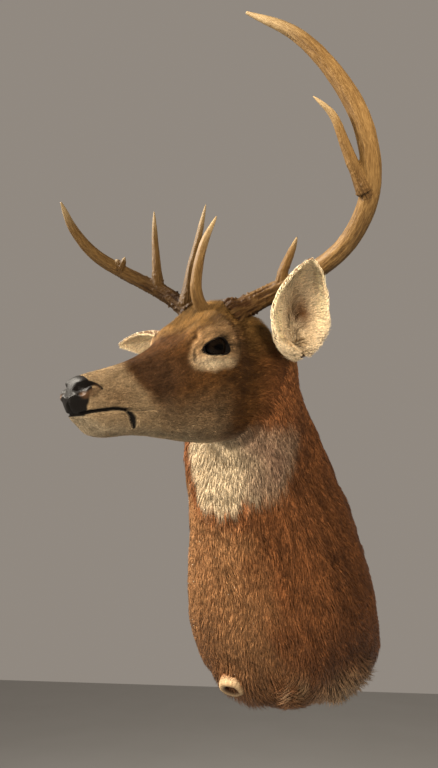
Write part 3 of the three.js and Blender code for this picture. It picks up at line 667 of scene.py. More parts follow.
def face_relief(s, a, h):
    """How far brow, socket, cheekbone, temple and tear slit stand out, in mm."""
    side = smooth(15, 32, a)
    brow = 6.0 * hill(s - 197, h - 90, 34, 16)
    socket = -3.5 * hill(s - 196, h - 66, 27, 20)
    cheekbone = 1.8 * hill(s - 205, h - 36, 45, 9)
    temple = -2.0 * hill(s - 245, h - 72, 18, 18)
    jaw_muscle = 1.5 * hill(s - 235, h + 12, 35, 28)
    slit = -2.6 * bell(from_slit(s, h), 1.8) * smooth(46, 51, h) * smooth(66, 60, h)
    patch = eye_patch(s, h)
    fold = (-1.8 * bell(patch - 1.02, 0.07) + 1.6 * bell(patch - 0.8, 0.16)) * smooth(58, 74, h)
    bag = 1.2 * hill(s - 185, h - 47, 24, 5)
    crest = 0.9 * hill(s - 120, h - 34, 40, 7)
    return (brow + socket + cheekbone + temple + jaw_muscle + slit + fold + bag + crest) * side


def lids(points):
    """Moves the skin beside each eye along its gaze: out over the glass as a lid, and down behind it inside."""
    for side in (1, -1):
        centre, gaze, _, _ = eye_frame(side)
        x, y, out = eye_shares(points, side)
        reach = np.hypot(x, y)
        near = (out > -6) & (reach < EYE["radius"] + 16)
        sheet = np.sqrt(np.maximum((EYE["radius"] + LID["sheet"]) ** 2 - reach ** 2, 0))
        sheet = np.where(reach < EYE["radius"] + LID["sheet"], sheet, -4)
        over = (out + sheet + np.sqrt((out - sheet) ** 2 + 9)) / 2
        over = out + (over - out) * smooth(EYE["radius"] + 12, EYE["radius"], reach)
        opening = lid_opening(x, y)
        crease = -0.9 * bell(opening - 1.42, 0.07) * smooth(0, 6, y)
        behind = np.minimum(out - 1.2, np.where(reach < EYE["radius"] - 1, sheet - 5.5, out))
        wanted = np.where(opening < 1, behind, over + crease)
        points = points + np.where(near, wanted - out, 0)[..., None] * gaze
    return points


def depth_of_coat(t, s, h, bare):
    """How far the skin lies inside the coat's tips, in mm: most on the neck, least on the muzzle."""
    settings = coat()
    neck, face = settings.neck_depth / MM, settings.face_depth / MM
    depth = neck + (face + 2.2 - neck) * smooth(395, 520, t) - 2.2 * smooth(520, 610, t)
    depth = depth - 0.5 * smooth(660, 730, t)
    return depth * (1 - bare) + 0.15 * bare


def bare_share(s, w, h, points):
    """1 on the naked black skin of nose, lips and lids, 0 on hair."""
    a = np.abs(w)
    wobble = 1.2 * noise(points / 5, 31)
    top = smooth(15.5, 13.0, s + wobble - 0.22 * (h - 20) * (h > 20))
    side = smooth(12.0, 10.0, s + wobble)
    high = smooth(14, 28, h)
    pad = (top * high + side * (1 - high)) * smooth(-1.2, 1.0, h)
    rim = smooth(2.2, 0.8, near_path(s, h, NOSTRIL_PATH)) * smooth(5, 9, a) * (s < 40)
    from_mouth = np.abs(h - MOUTH_LINE(s))
    lips = smooth(2.5, 1.5, from_mouth) * smooth(68, 62, s) * (s > 4)
    lips = np.maximum(lips, 0.75 * smooth(1.2, 0.5, from_mouth) * (s >= 60) * smooth(103, 96, s))
    lips = np.maximum(lips, smooth(1.2, -0.6, near_path(s, h, LIP_FOLD)) * (a > 8))
    bare = np.maximum(np.maximum(pad, rim), lips) * (s < 110) * (s > -30)
    for side_sign in (1, -1):
        x, y, out = eye_shares(points, side_sign)
        lid = smooth(1.17, 1.06, lid_opening(x, y)) * (out > 0) * (np.hypot(x, y) < 30)
        slit = smooth(2.4, 1.2, np.abs(from_slit(s, h))) * smooth(45, 49, h) * smooth(66, 61, h) \
            * (w * side_sign > 20)
        bare = np.maximum(bare, np.maximum(lid, 0.85 * slit))
    return bare


def body_skin():
    """The trunk, neck and head as one grid: the loft, its relief, then the coat's depth inwards, then the lids."""
    along = spaced(0, NOSE_END, lambda t: between(ROW_SPACING, t))
    round_ring = spaced(0, RING_POINTS,
                        lambda v: COLUMN_SPACING / (1 + 0.9 * bell(np.abs(v - THROAT) - EYE_COLUMN, 1.0)))[:-1]
    rows = natural_cubic(KNOTS, RINGS, along)
    points = np.einsum("vk,ukd->uvd", ring_weights(round_ring, RING_POINTS), rows)
    out = unit(points - rows.mean(axis=1)[:, None])
    s, w, h = head_place(points)
    a = np.abs(w)
    normals, _, _ = outwards(points)
    relief = (muzzle_relief(s, a, h) + face_relief(s, a, h)) * smooth(315, 300, s)
    points = points + normals * relief[..., None]
    stalks = 12 * hill(s - 252, a - 31, 30, 22) * smooth(60, 85, h) \
        + 16 * hill(s - 242, a, 30, 28) * smooth(70, 95, h)
    stalks = stalks + 21 * hill(s - 284, a - 54, 25, 24) * bell(h - 80, 26)
    points = points + out * stalks[..., None]
    ears = sum(hill(np.linalg.norm(points - on_head(*ear["root"]), axis=-1), 0, 36, 1) for ear in EARS.values())
    s, w, h = head_place(points)
    cheeks = hill(s - 302, np.abs(w) - 78, 27, 40) * bell(h - 38, 24)
    points = points + out * (21 * ears + 13 * cheeks)[..., None]
    s, w, h = head_place(points)
    t = np.broadcast_to(along[:, None], s.shape)
    v = np.broadcast_to(round_ring[None], s.shape)
    bare = bare_share(s, w, h, points) * (t > POLL_AT)
    normals, _, _ = outwards(points)
    folds = 1.2 * noise(points / np.array([60, 60, 90]), 5) + 0.5 * noise(points / 22, 6)
    folds = folds * smooth(480, 380, t) * smooth(0, 60, t)
    points = points + normals * (folds - depth_of_coat(t, s, h, bare))[..., None]
    points = lids(points)
    points[..., 1] = np.minimum(points[..., 1], -WALL_CLEAR)
    return {"points": points, "t": t, "v": v, "s": s, "w": w, "h": h, "a": np.abs(w), "bare": bare,
            "above": np.minimum(v, RING_POINTS - v), "under": np.abs(v - THROAT)}


def ear_section(side, t):
    """The ear's own line at shares t of its length, its directions, and the arc's half angle and radius."""
    ear = EARS[side]
    root, tip = on_head(*ear["root"]), on_head(*ear["tip"])
    axis = unit(tip - root)
    look = unit(along_head(EAR_LOOK[0], side * EAR_LOOK[1], EAR_LOOK[2]))
    facing = turned(unit(look - (look @ axis) * axis), axis, np.radians(ear["roll"]))
    half = np.radians(EAR_WRAP(t))
    radius = EAR_HALF_WIDTH(t) / np.where(half < np.pi / 2, np.sin(half), 1)
    bow = -EAR_BOW * np.sin(np.pi * t)
    centre = root + np.outer(np.linalg.norm(tip - root) * t, axis) + np.outer(bow + radius * EAR_SEAT, facing)
    return centre, np.cross(axis, facing), facing, half, radius


def ear_skin(side, along=64, arc=40, edge=5):
    """A cupped leaf as a grid: at each step of its length an arc's back, its rounded edge, its front, and its
    other edge. Returns the points, the share of the length, the place across from -1 to 1, and 1 on the front."""
    t = np.sin(np.linspace(0, np.pi / 2, along)) * 0.35 + np.linspace(0, 1, along) * 0.65
    centre, across, facing, half, radius = ear_section(side, t)
    thick = EAR_THICK(t)[:, None] / 2
    share = np.linspace(-1, 1, arc)
    turn = np.linspace(0, np.pi, edge + 2)[1:-1]
    place_across = np.r_[share, np.full(edge, 1.0), -share, np.full(edge, -1.0)]
    off = np.r_[np.ones(arc), np.cos(turn), -np.ones(arc), -np.cos(turn)]
    past = np.r_[np.zeros(arc), np.sin(turn), np.zeros(arc), -np.sin(turn)]
    wave = 0.09 * noise(np.stack(np.broadcast_arrays(t[:, None] * 9, place_across * 0 + side * 4, 0.5), -1), 8)
    angle = half[:, None] * place_across * (1 + wave) + past * thick / radius[:, None]
    ridge = 1.7 * np.cos(place_across * 9) * (smooth(0.2, 0.45, t) * np.sin(np.pi * t))[:, None]
    ridge = ridge * (off < 0) * (1 - place_across ** 2)
    reach = radius[:, None] + off * thick + ridge
    points = centre[:, None] + across * (reach * np.sin(angle))[..., None] \
        - facing * (reach * np.cos(angle))[..., None]
    t_grid = np.broadcast_to(t[:, None], angle.shape)
    front = np.broadcast_to((off < 0).astype(float), angle.shape)
    return points, t_grid, np.broadcast_to(place_across, angle.shape), front


def stump_skin(index, around=44):
    """A rolled rim round a hollow, turned about its own axis: the section goes up its side, over and down inside."""
    at, towards = STUMPS[index]
    axis = unit(np.array(towards, float))
    at = np.array(at) - axis * (STUMP["woolly_sunk"] if index == 0 else 0)
    side = unit(np.cross(axis, [0, 1, 0.3]))
    radius, rim, reach, hollow = STUMP["radius"], STUMP["rim"], STUMP["reach"], STUMP["hollow"]
    turn = np.linspace(0, np.pi, 14)
    out = np.r_[np.full(4, radius), radius - rim * (1 - np.cos(turn)) / 2 * 1.5,
                np.linspace(radius - 1.7 * rim, 1, 12)]
    up = np.r_[np.linspace(-reach, -3, 4), rim * 0.9 * np.sin(turn), np.linspace(-2, -hollow, 12)]
    angle = np.linspace(0, 2 * np.pi, around, endpoint=False)
    uneven = 1 + 0.06 * np.sin(2 * angle + index) + 0.03 * np.sin(5 * angle + 2 * index)
    ring = np.outer(np.cos(angle) * uneven, side) + np.outer(np.sin(angle) * uneven, np.cross(axis, side))
    return at + out[:, None, None] * ring + up[:, None, None] * axis, out, up


def board_ring(angle, grow):
    """Points (x, z) of the board's outline, larger by grow: a half ellipse above and another below."""
    reach = np.where(np.sin(angle) > 0, BOARD["up"], BOARD["down"])
    return np.column_stack([(BOARD["half"] + grow) * np.cos(angle), (reach + grow) * np.sin(angle)])


def lid_rim(body, side, steps=120, around=10):
    """The naked edge of the lids: a thin tube along the opening, lying on the glass and the skin beside it."""
    centre, gaze, front, up = eye_frame(side)
    x, y = lid_line(steps)
    px, py, out = eye_shares(body["points"].reshape(-1, 3), side)
    around_eye = (out > 0) & (np.hypot(px, py) < 32)
    opening = lid_opening(px, py)
    lid = around_eye & (opening > 1.01) & (opening < 1.4)
    px, py, out = px[lid], py[lid], out[lid]
    nearest = np.argmin((x[:, None] - px) ** 2 + (y[:, None] - py) ** 2, axis=1)
    ball = np.sqrt(np.maximum((EYE["radius"] + 0.5) ** 2 - x * x - y * y, 0))
    height = np.maximum(out[nearest] - 0.8, ball)
    for _ in range(3):
        height = (np.roll(height, 1) + 2 * height + np.roll(height, -1)) / 4
    line = centre + np.outer(x, front) + np.outer(y, up) + np.outer(height, gaze)
    tangent = unit(np.roll(line, -1, axis=0) - np.roll(line, 1, axis=0))
    normal = unit(gaze - (tangent @ gaze)[:, None] * tangent)
    binormal = np.cross(tangent, normal)
    angle = np.linspace(0, 2 * np.pi, around, endpoint=False)
    section = normal[:, None] * np.cos(angle)[:, None] + binormal[:, None] * np.sin(angle)[:, None]
    tube = line[:, None] + LID["rim"] * section
    return np.vstack([tube, tube[:1]])


def stump_grid(index):
    """A stump's grid: pale on its rolled rim, with painted shade in its hollow. The deer's-left one is woolly instead.
    """
    points, out, up = stump_skin(index)
    inside, pale, rim = (np.broadcast_to(smooth(low, high, value)[:, None], points.shape[:2])
                         for low, high, value in ((STUMP["radius"] - 3, STUMP["radius"] - 12, out),
                                                  (-9, 2, up), (-12, -3, up)))
    wool = 1.0 - index
    inside = inside * (1 - wool)
    colour = mix(hue("neck"), hue("cream"), pale * (1 - 0.35 * wool))
    # Painted shade: the hollow is darkened to near black.
    return {"points": points, "bare": inside, "inside": inside, "wool": wool, "rim": rim,
            "colour": mix(colour, hue("brisket") * 0.6, inside)}


def skin_grids():
    """Every surface of the skin as a grid with its own measures at each point: body, ears, stumps, lid rims."""
    body = body_skin()
    body["colour"] = markings(body)
    grids = {"body": body}
    for side, label in ((1, "left"), (-1, "right")):
        points, t, across, front = ear_skin(side)
        grids["ear_" + label] = {"points": points, "t": t, "across": across, "front": front,
                                 "bare": np.zeros(t.shape), "colour": ear_markings(side, t, across, front)}
    for index, (side, label) in enumerate(((1, "left"), (-1, "right"))):
        grids["stump_" + label] = stump_grid(index)
        rim = lid_rim(body, side)
        grids["lids_" + label] = {"points": rim, "bare": np.ones(rim.shape[:2]), "looped": True,
                                  "colour": np.broadcast_to(hue("bare"), rim.shape)}
    for grid in grids.values():
        grid["normals"], grid["along"], grid["round"] = outwards(grid["points"])
    return grids


# ---- markings of the coat -----------------------------------------------------------------------------------------

FACE_EDGE = [(-8, 112), (3, 102), (17, 94), (27, 83), (45, 72), (53, 76), (60, 80)]     # (h, s) of the muzzle's cream
# The throat patch: how far it reaches round the body at each t, more on the deer's right, and its lowest t at each v.
PATCH_REACH = [(340, 1.8), (349, 1.95), (411, 1.85), (430, 1.65), (445, 1.4), (470, 1.0), (499, 0.6), (515, 0.55),
               (563, 0.7), (697, 0.75), (712, 1.0), (745, 1.3), (770, 1.3)]
PATCH_MORE = [(340, 0.1), (360, 0.5), (420, 0.55), (470, 0.55), (500, 0.3), (540, 0)]
PATCH_LOWEST = [(3.0, 388), (3.25, 374), (3.5, 366), (4.0, 374), (4.5, 381), (4.8, 378), (5.2, 369), (5.7, 361),
                (6.1, 364), (6.6, 376), (7.3, 384)]
WHORL = {"t": 142, "v": 4.72}                      # where the hair of the chest turns round


def mix(first, second, share):
    """Two colours blended by a share of 0 to 1 at each point."""
    share = np.asarray(share)[..., None]
    return first * (1 - share) + second * share


def strands(v, t, across, along, seed):
    """Noise drawn out along the body as locks are: across times as fine round it as v, and along mm long."""
    return noise(np.stack([v * across, t / along, t * 0], -1), seed)


def crown_share(skin, front, back):
    """1 on the tousled hair between the antlers, from front to back in s, 0 elsewhere."""
    return smooth(*front, skin["s"]) * smooth(*back, skin["s"]) * (skin["t"] > HEAD_FROM)


def neck_colours(skin, broad, fine):
    """Trunk and neck: darker along the top and low on the chest, with locks and a whorl. Lighter down the front and the
    deer's right, which is partly paler hair and partly painted light where the lamps light the chest.
    """
    t, v, above, under = (skin[key] for key in ("t", "v", "above", "under"))
    colour = mix(hue("neck"), hue("spine"), smooth(1.6, 0.3, above) * 0.8)
    colour = mix(colour, hue("spine"), 0.35 * smooth(3.7, 2.9, above + 0.2 * broad) * smooth(430, 380, t))
    locks = strands(v, t, 9, 34, 46) + 0.5 * strands(v, t, 24, 18, 47)
    colour = colour * (1 + 0.28 * locks)[..., None]
    whorl = hill(t - WHORL["t"], v - WHORL["v"], 17, 0.26)
    colour = mix(colour, hue("spine") * 0.4, whorl * smooth(-0.3, 0.2, fine))
    colour = mix(colour, hue("cream"), hill(t - 150, v - 4.58, 18, 0.3) * smooth(-0.1, 0.25, locks))
    # Partly paler hair, partly painted light: lighter tan only on the lit front and right of the chest, not on the
    # shaded left.
    front = smooth(4.3, 5.3, v + 0.3 * broad) * smooth(7.9, 7.0, v)
    colour = mix(colour, hue("front"), 0.6 * front * smooth(360, 330, t))
    colour = mix(colour, hue("brisket"), smooth(2.4, 0.9, under + 0.2 * broad) * smooth(260, 120, t) * 0.75)
    return mix(colour, hue("spine"), 0.25 * smooth(0.1, 0.9, broad))


def face_colours(skin, colour, broad, fine):
    """Golden forehead and cheek, dark band, cream muzzle and the pale patch round each eye, with painted shade in the
    crease over its top. Also the cream's share.
    """
    t, s, h, a, above = (skin[key] for key in ("t", "s", "h", "a", "above"))
    head = (t > HEAD_FROM).astype(float)
    colour = mix(colour, hue("cheek"), smooth(470, 520, t))
    colour = mix(colour, hue("forehead"), smooth(2.2, 1.3, above) * smooth(430, 480, t) * smooth(150, 185, s)
                 * smooth(345, 290, s + 10 * broad))
    edge = between(FACE_EDGE, h) + 3 * fine
    dark = smooth(-12, 16, s - edge + 9 * broad + 4 * fine) * smooth(185, 118, s + 10 * broad) * head
    dark = dark * (1 - 0.55 * smooth(112, 140, s) * smooth(26, 4, h)) * (1 - 0.4 * smooth(48, 68, h))
    colour = mix(colour, hue("band"), dark)
    bridge = smooth(1.3, 0.5, above) * smooth(205, 150, s) * smooth(120, 150, s) * head
    colour = mix(colour, hue("band"), 0.45 * bridge)
    cream = smooth(8, -12, s - edge + 9 * broad + 5 * fine) * head
    cream = cream * (1 - 0.35 * hill(s - 48, h - 16, 24, 9) * smooth(8, 16, a))
    colour = mix(colour, hue("cream"), cream)
    patch = eye_patch(s, h) + 0.05 * fine
    sides = smooth(15, 30, a) * head * (s < 262)
    # Painted shade: a dark line in the crease round the top of the pale eye patch.
    outline = bell(patch - 1.1, 0.07) * smooth(55, 75, h) * sides
    colour = mix(colour, hue("band") * 0.8, 0.75 * outline)
    colour = mix(colour, hue("ring"), 0.95 * smooth(1.06, 0.94, patch) * sides)
    lit = (hill(s - 178, h - 45, 20, 10) + 0.5 * hill(s - 205, h - 46, 18, 8)) * smooth(1.1, 0.9, patch) * sides
    return mix(colour, hue("white"), np.clip(1.1 * lit, 0, 1)), cream


def throat_colours(skin, colour, broad, fine):
    """The pale underside of the jaw and the white patch of the throat, with painted shade over the patch on the deer's
    left, away from the light.
    """
    t, v, under = skin["t"], skin["v"], skin["under"]
    ragged = 0.6 * broad + 0.4 * fine
    paler = smooth(2.5, 1.0, under + 0.15 * ragged) * smooth(530, 580, t) * smooth(735, 690, t)
    colour = mix(colour, hue("cream"), 0.75 * paler)
    jaw = between(PATCH_REACH, t)
    wider = between(PATCH_MORE, t) * smooth(5.0, 5.6, v)
    soft = smooth(4.7, 3.5, v)
    white = smooth(0.24 + 0.45 * soft, -0.2 - 0.15 * soft, under - jaw - wider + 0.22 * ragged)
    above_edge = t - between(PATCH_LOWEST, v) + 5 * broad + 12 * strands(v, t, 7, 30, 45)
    white = white * smooth(-7 - 16 * soft, 9 + 16 * soft, above_edge)
    colour = mix(colour, hue("white") * 0.82, white)
    # Painted shade: the throat patch is dulled towards the deer's left, where the head's shadow falls.
    far_side_painted_shade = white * smooth(5.2, 3.6, v + 0.3 * broad) * smooth(350, 385, t) * (t < 560)
    return mix(colour, hue("throat_painted_shade"), 0.9 * far_side_painted_shade)


def markings(skin):
    """The coat's colour at each point of the body: patches with soft, broken edges laid over one another."""
    points, t, v, s, h, a = (skin[key] for key in ("points", "t", "v", "s", "h", "a"))
    broad, fine = noise(points / 26, 41), noise(points / 6, 42)
    colour = neck_colours(skin, broad, fine)
    colour, cream = face_colours(skin, colour, broad, fine)
    colour = throat_colours(skin, colour, broad, fine)
    crown = smooth(2.4, 1.4, skin["above"]) * crown_share(skin, (170, 200), (300, 270))
    colour = colour * (1 - 0.6 * np.maximum(strands(v, t, 9, 28, 44), 0) * crown)[..., None]
    mottle = 0.6 * strands(v, t, 8, 10, 48) + strands(v, t, 18, 6, 49)
    colour = colour * (1 + 0.34 * mottle * smooth(470, 520, t) * (1 - 0.6 * cream))[..., None]
    from_stump = np.linalg.norm((points - np.array(STUMPS[0][0])) * [0.75, 1, 1.3], axis=-1)
    colour = mix(colour, hue("cream"), 0.6 * hill(from_stump, 0, 42, 1))
    on_head_only = (t > HEAD_FROM).astype(float)
    behind_eye = hill(s - 236, h - 60, 9, 40) * smooth(30, 45, a) * on_head_only
    colour = mix(colour, hue("band"), 0.6 * behind_eye)
    colour = colour * (1 + 0.10 * broad + 0.06 * fine)[..., None]
    colour = mix(colour, hue("bare"), skin["bare"])
    wing = smooth(2.5, -0.5, near_path(s, h, ALAR_PATH)) * smooth(6, 9, a) * on_head_only
    return np.clip(mix(colour, hue("band"), 0.6 * wing), 0, 1)


def ear_markings(side, t, across, front):
    """Brown behind, darker at its edge; cream in front, with painted shade in the hollow, and white at the root."""
    streak = noise(np.stack([across * 14, t * 3, t * 0], -1), 51)
    back = mix(hue("ear_back"), hue("ear_back") * 0.6, smooth(0.75, 1.0, np.abs(across)))
    # Painted shade: the hollow of the ear's cup is darkened.
    inside = mix(hue("ear_inside"), hue("ear_hollow_painted_shade"), hill(across * side - 0.17, t - 0.27, 0.25, 0.28))
    inside = mix(inside, hue("white"), smooth(0.3, 0.1, t) * 0.8)
    inside = inside * (1 + 0.16 * streak)[..., None]
    return np.clip(mix(back, inside, front), 0, 1)


# ---- tufts --------------------------------------------------------------------------------------------------------

def look(values, row, column):
    """The value of a grid at fractional rows and columns, blended from the four points round it."""
    rows, columns = values.shape[:2]
    row = np.clip(row, 0, rows - 1.001)
    i, j = np.floor(row).astype(int), np.floor(column).astype(int)
    p, q = row - i, column - j
    if values.ndim == 3:
        p, q = p[..., None], q[..., None]
    left, right = j % columns, (j + 1) % columns
    return ((values[i, left] * (1 - p) + values[i + 1, left] * p) * (1 - q)
            + (values[i, right] * (1 - p) + values[i + 1, right] * p) * q)


def on_the_grid(grid, direction, row, column):
    """Steps along rows and columns that carry a point of the grid along a direction by one mm."""
    along, across = look(grid["along"], row, column), look(grid["round"], row, column)
    e, f, g = (along ** 2).sum(-1), (along * across).sum(-1), (across ** 2).sum(-1)
    p, q = (along * direction).sum(-1), (across * direction).sum(-1)
    spread = np.maximum(e * g - f * f, 1e-6 * e * g + 1e-9)
    return (p * g - q * f) / spread, (q * e - p * f) / spread


# A tuft: its height over its width, how deep its root is sunk in mm, how its width falls off, the scatter of its
# direction and bend, the share of dark ones, and the size of its patch on the map.
TUFT = {"height": 0.42, "sunk": 0.3, "taper": 1.6, "stray": 0.09, "bend": 0.07, "dark": 0.12, "patch": 0.003}
# Painted shade: tufts are darker at the root, where the hairs shade one another, than at the tip.
ROOT_PAINTED_SHADE = [(0, 0.6), (0.45, 0.95), (0.8, 1.08), (1, 1.12)]     # darker at the root than at the tip


def tuft_faces(rings, count):
    """The triangles of count tufts: a closed root, sides between the rings of three, and a point at the end."""
    tip = 3 * rings
    faces = [[0, 2, 1]]
    for ring in range(rings - 1):
        for k in range(3):
            p, q = 3 * ring + k, 3 * ring + (k + 1) % 3
            faces += [[p, q, q + 3], [p, q + 3, p + 3]]
    faces += [[tip - 3 + k, tip - 3 + (k + 1) % 3, tip] for k in range(3)]
    return (np.array(faces)[None] + (np.arange(count) * (tip + 1))[:, None, None]).reshape(-1, 3)


def tufts(grid, growth, rings, random):
    """Hair as tapered blades of three sides that follow the skin. Each leaves its root along the lie of the coat,
    rises as 1 - (1 - q) squared of its height over the share q of its length, and narrows to a point.
    growth holds grids: density per square mm, lie, length, rise and width in mm, and the tilt of each lock."""
    rows, columns = grid["points"].shape[:2]
    area = np.linalg.norm(np.cross(grid["along"], grid["round"]), axis=-1)
    area[-1] = 0
    run = np.cumsum((area * growth["density"]).ravel())
    count = int(run[-1] * coat().amount)
    if count < 1:
        raise RuntimeError("no hair grows here: the density is 0 everywhere")
    at = (np.arange(count) + random.random(count)) * run[-1] / count
    cell = np.minimum(np.searchsorted(run, at), rows * columns - 1)
    row = cell // columns + random.random(count)
    column = cell % columns + random.random(count)
    size = look(growth["length"], row, column) * random.uniform(0.7, 1.15, count)
    rise = look(growth["rise"], row, column) * random.uniform(0.4, 1.0, count)
    width = look(growth["width"], row, column) * random.uniform(0.7, 1.2, count)
    normal = unit(look(grid["normals"], row, column))
    lie = look(growth["lie"], row, column)
    lie = unit(lie - (lie * normal).sum(-1)[:, None] * normal)
    turn = look(growth["tilt"], row, column) + random.normal(0, TUFT["stray"], count)
    lie = lie * np.cos(turn)[:, None] + np.cross(normal, lie) * np.sin(turn)[:, None]
    step_row, step_column = on_the_grid(grid, lie, row, column)
    curl = random.normal(0, TUFT["bend"], count)
    share = np.linspace(0, 1, rings + 1)
    path, up = [], []
    for q in share:
        here = row + step_row * size * q, column + (step_column * size) * q
        up.append(unit(look(grid["normals"], *here)))
        lift = rise * (1 - (1 - q) ** 2) - TUFT["sunk"] * (1 - q)
        path.append(look(grid["points"], *here) + up[-1] * lift[:, None]
                    + np.cross(normal, lie) * (curl * size * q * q)[:, None])
    path, up = np.array(path), np.array(up)
    side = unit(np.cross(unit(np.gradient(path, axis=0)), up))
    taper = (width * (1 - share[:, None] ** TUFT["taper"]))[:-1]
    corners = [(-0.5, 0.0), (0.5, 0.0), (0.0, TUFT["height"])]
    body = np.stack([path[:-1] + side[:-1] * (x * taper)[..., None] + up[:-1] * (y * taper)[..., None]
                     for x, y in corners], 2)
    vertices = np.concatenate([body.transpose(1, 0, 2, 3).reshape(count, -1, 3), path[-1][:, None]], 1)
    vertices[..., 1] = np.minimum(vertices[..., 1], -WALL_CLEAR)
    depth = np.r_[np.repeat(share[:-1], 3), 1.0]
    contrast = growth.get("contrast", 1.0)
    # Painted shade along each tuft, darkest at the root.
    shade = between(ROOT_PAINTED_SHADE, depth) ** contrast
    lock = noise(look(grid["points"], row, column) / [5, 5, 9], 61)
    tone_of_each = 1 + 0.2 * lock + random.normal(0, 0.09, count)
    is_dark = random.random(count) < TUFT["dark"]
    tone_of_each = tone_of_each * np.where(is_dark, random.uniform(0.5, 0.8, count), 1)
    tone_of_each = np.maximum(tone_of_each, 0.2) ** contrast
    colour = look(grid["colour"], row, column)[:, None] * (shade[None] * tone_of_each[:, None])[..., None]
    place_of_each = np.stack([row, column % columns], -1)
    patch = np.column_stack([np.r_[np.tile([0, 0.5, 1], rings), 0.5], depth]) * TUFT["patch"]
    return vertices, tuft_faces(rings, count), np.clip(colour, 0, 1), place_of_each, patch


def coat_piece(name, parts, random, rings, material, slot):
    """One object of tufts from one or more (grid, growth) pairs, each with its own part of the OFBake map."""
    vertices, faces, colours, places = [], [], [], []
    start = 0
    for index, (grid, growth) in enumerate(parts):
        points, triangles, colour, place_of_each, patch = tufts(grid, growth, rings, random)
        low, high = place_of_each.min(axis=0), place_of_each.max(axis=0)
        flat = (place_of_each - low) / (high - low) * 0.99 + 0.003
        flat[:, 0] = (flat[:, 0] + index) / len(parts)
        vertices.append(points.reshape(-1, 3))
        faces.append(triangles + start)
        colours.append(colour.reshape(-1, 3))
        places.append((flat[:, None] + patch).reshape(-1, 2))
        start += points.shape[0] * points.shape[1]
    piece = make_mesh(name, np.vstack(vertices), [np.vstack(faces)], [("Coat", np.vstack(colours))],
                      [("OFBake", np.vstack(places))])
    finish_piece(piece, material, slot)


TUFTS_PER_MM2 = [(0, 0.185), (200, 0.185), (230, 0.215), (430, 0.22), (520, 0.72), (600, 1.035), (700, 1.35),
                 (787, 1.8)]                       # at each t, as the two lists that follow
TUFT_WIDTH = [(0, 1.8), (400, 1.7), (520, 1.0), (620, 0.8), (787, 0.54)]
TILT_SHARE = [(0, 1), (400, 1), (560, 0.5), (787, 0.3)]


def body_growth(body):
    """How the hair grows on the body: lengths, lie and density by place."""
    settings = coat()
    points, t, v, s, h, a = (body[key] for key in ("points", "t", "v", "s", "h", "a"))
    neck, cheek, muzzle = settings.neck_hair / MM, settings.cheek_hair / MM, settings.muzzle_hair / MM
    size = between([(0, neck * 0.9), (380, neck), (470, 17), (530, 11), (600, cheek), (680, muzzle * 1.3),
                    (787, muzzle)], t)
    near_eye = np.minimum(np.hypot((s - 192) / 30, (h - 64) / 24), 3)
    size = size * np.where((t > 520) & (a > 15), between([(0.5, 0.35), (1, 0.5), (2, 1)], near_eye), 1)
    depth = depth_of_coat(t, s, h, np.zeros(t.shape))
    lie = -unit(body["along"]) + np.array([0, 0, -0.45]) * smooth(520, 400, t)[..., None]
    tilt = 0.28 * noise(points / 30, 71) + 0.22 * noise(points / np.array([11, 11, 20]), 72)
    tilt = tilt * between(TILT_SHARE, t)
    from_whorl, beside_whorl = t - WHORL["t"], v - WHORL["v"]
    tilt = tilt + 1.7 * hill(from_whorl, beside_whorl, 26, 0.42) * np.sign(beside_whorl)
    density = between(TUFTS_PER_MM2, t) * (body["bare"] < 0.35)
    for side in (1, -1):
        x, y, out = eye_shares(points, side)
        density = density * ~((lid_opening(x, y) < 1.1) & (np.hypot(x, y) < 34) & (out > -20))
    crown = smooth(2.6, 1.6, body["above"]) * crown_share(body, (170, 205), (300, 270))
    size = size + 6 * crown
    locks = 0.3 * strands(v, t, 9, 34, 46) * smooth(480, 420, t)
    rise = depth * (0.9 + 0.2 * noise(points / 8, 75) + locks) + 2.6 * crown
    rise = rise + 14 * hill(from_whorl, beside_whorl, 22, 0.34)
    hem = smooth(70, 5, t) * smooth(1.9, 1.2, body["under"])
    size, rise = size + 10 * hem, rise + 4 * hem
    for (at, _), more in zip(STUMPS, (1.7, 1.0)):
        ring = hill(np.linalg.norm(points - np.array(at), axis=-1) - 24, 0, 20, 1)
        size, rise = size + 13 * more * ring, rise + 11 * more * ring
    return {"density": density, "lie": lie, "length": size, "rise": rise, "width": between(TUFT_WIDTH, t),
            "tilt": tilt}


def ear_growth(ear):
    """How the hair grows on an ear: towards the tip behind, and out of the hollow towards the edges in front."""
    t, across, front = ear["t"], ear["across"], ear["front"]
    inner = coat().ear_hair / MM
    out = unit(ear["round"]) * -np.sign(across)[..., None] * front[..., None]
    lie = unit(ear["along"]) * (1 - 0.35 * front)[..., None] + 0.8 * out * (np.abs(across) > 0.04)[..., None]
    wool = front * smooth(0.36, 0.16, t)
    size = np.where(front > 0.5, inner * np.interp(t, [0, 0.25, 0.7, 1], [2.0, 1.3, 0.8, 0.5]), 8)
    size = size * np.interp(t, [0, 0.9, 1], [1, 0.8, 0.5])
    density = 0.3 * smooth(0.0, 0.05, t) * (1 + 1.8 * wool) * np.where(t > 0.985, 0, 1)
    rise = np.where(front > 0.5, 2.4, 1.0) + 6 * wool + 2 * smooth(0.2, 0.05, t)
    tilt = 0.3 * noise(ear["points"] / 9, 73) * (1 + wool)
    return {"density": density, "lie": lie, "length": size, "rise": rise, "width": np.full(t.shape, 1.1),
            "tilt": tilt, "contrast": 0.45}


def stump_growth(stump):
    """How the hair grows on a stump: along the leg and over the rolled rim."""
    wool, rim = stump["wool"], stump["rim"]
    density = np.where(stump["inside"] < 0.2 + wool, 0.35 + 0.6 * wool, 0)
    return {"density": density, "lie": unit(stump["along"]), "length": 14 + wool * (6 - 14 * rim),
            "rise": 1.8 + wool * (8 + 12 * rim), "width": 1.2 * np.ones(rim.shape),
            "tilt": (0.3 + 0.5 * wool) * noise(stump["points"] / 12, 74)}


def within(growth, choose):
    """The same growth, with hair only where choose is true."""
    return {**growth, "density": growth["density"] * choose}


# ---- antlers ------------------------------------------------------------------------------------------------------

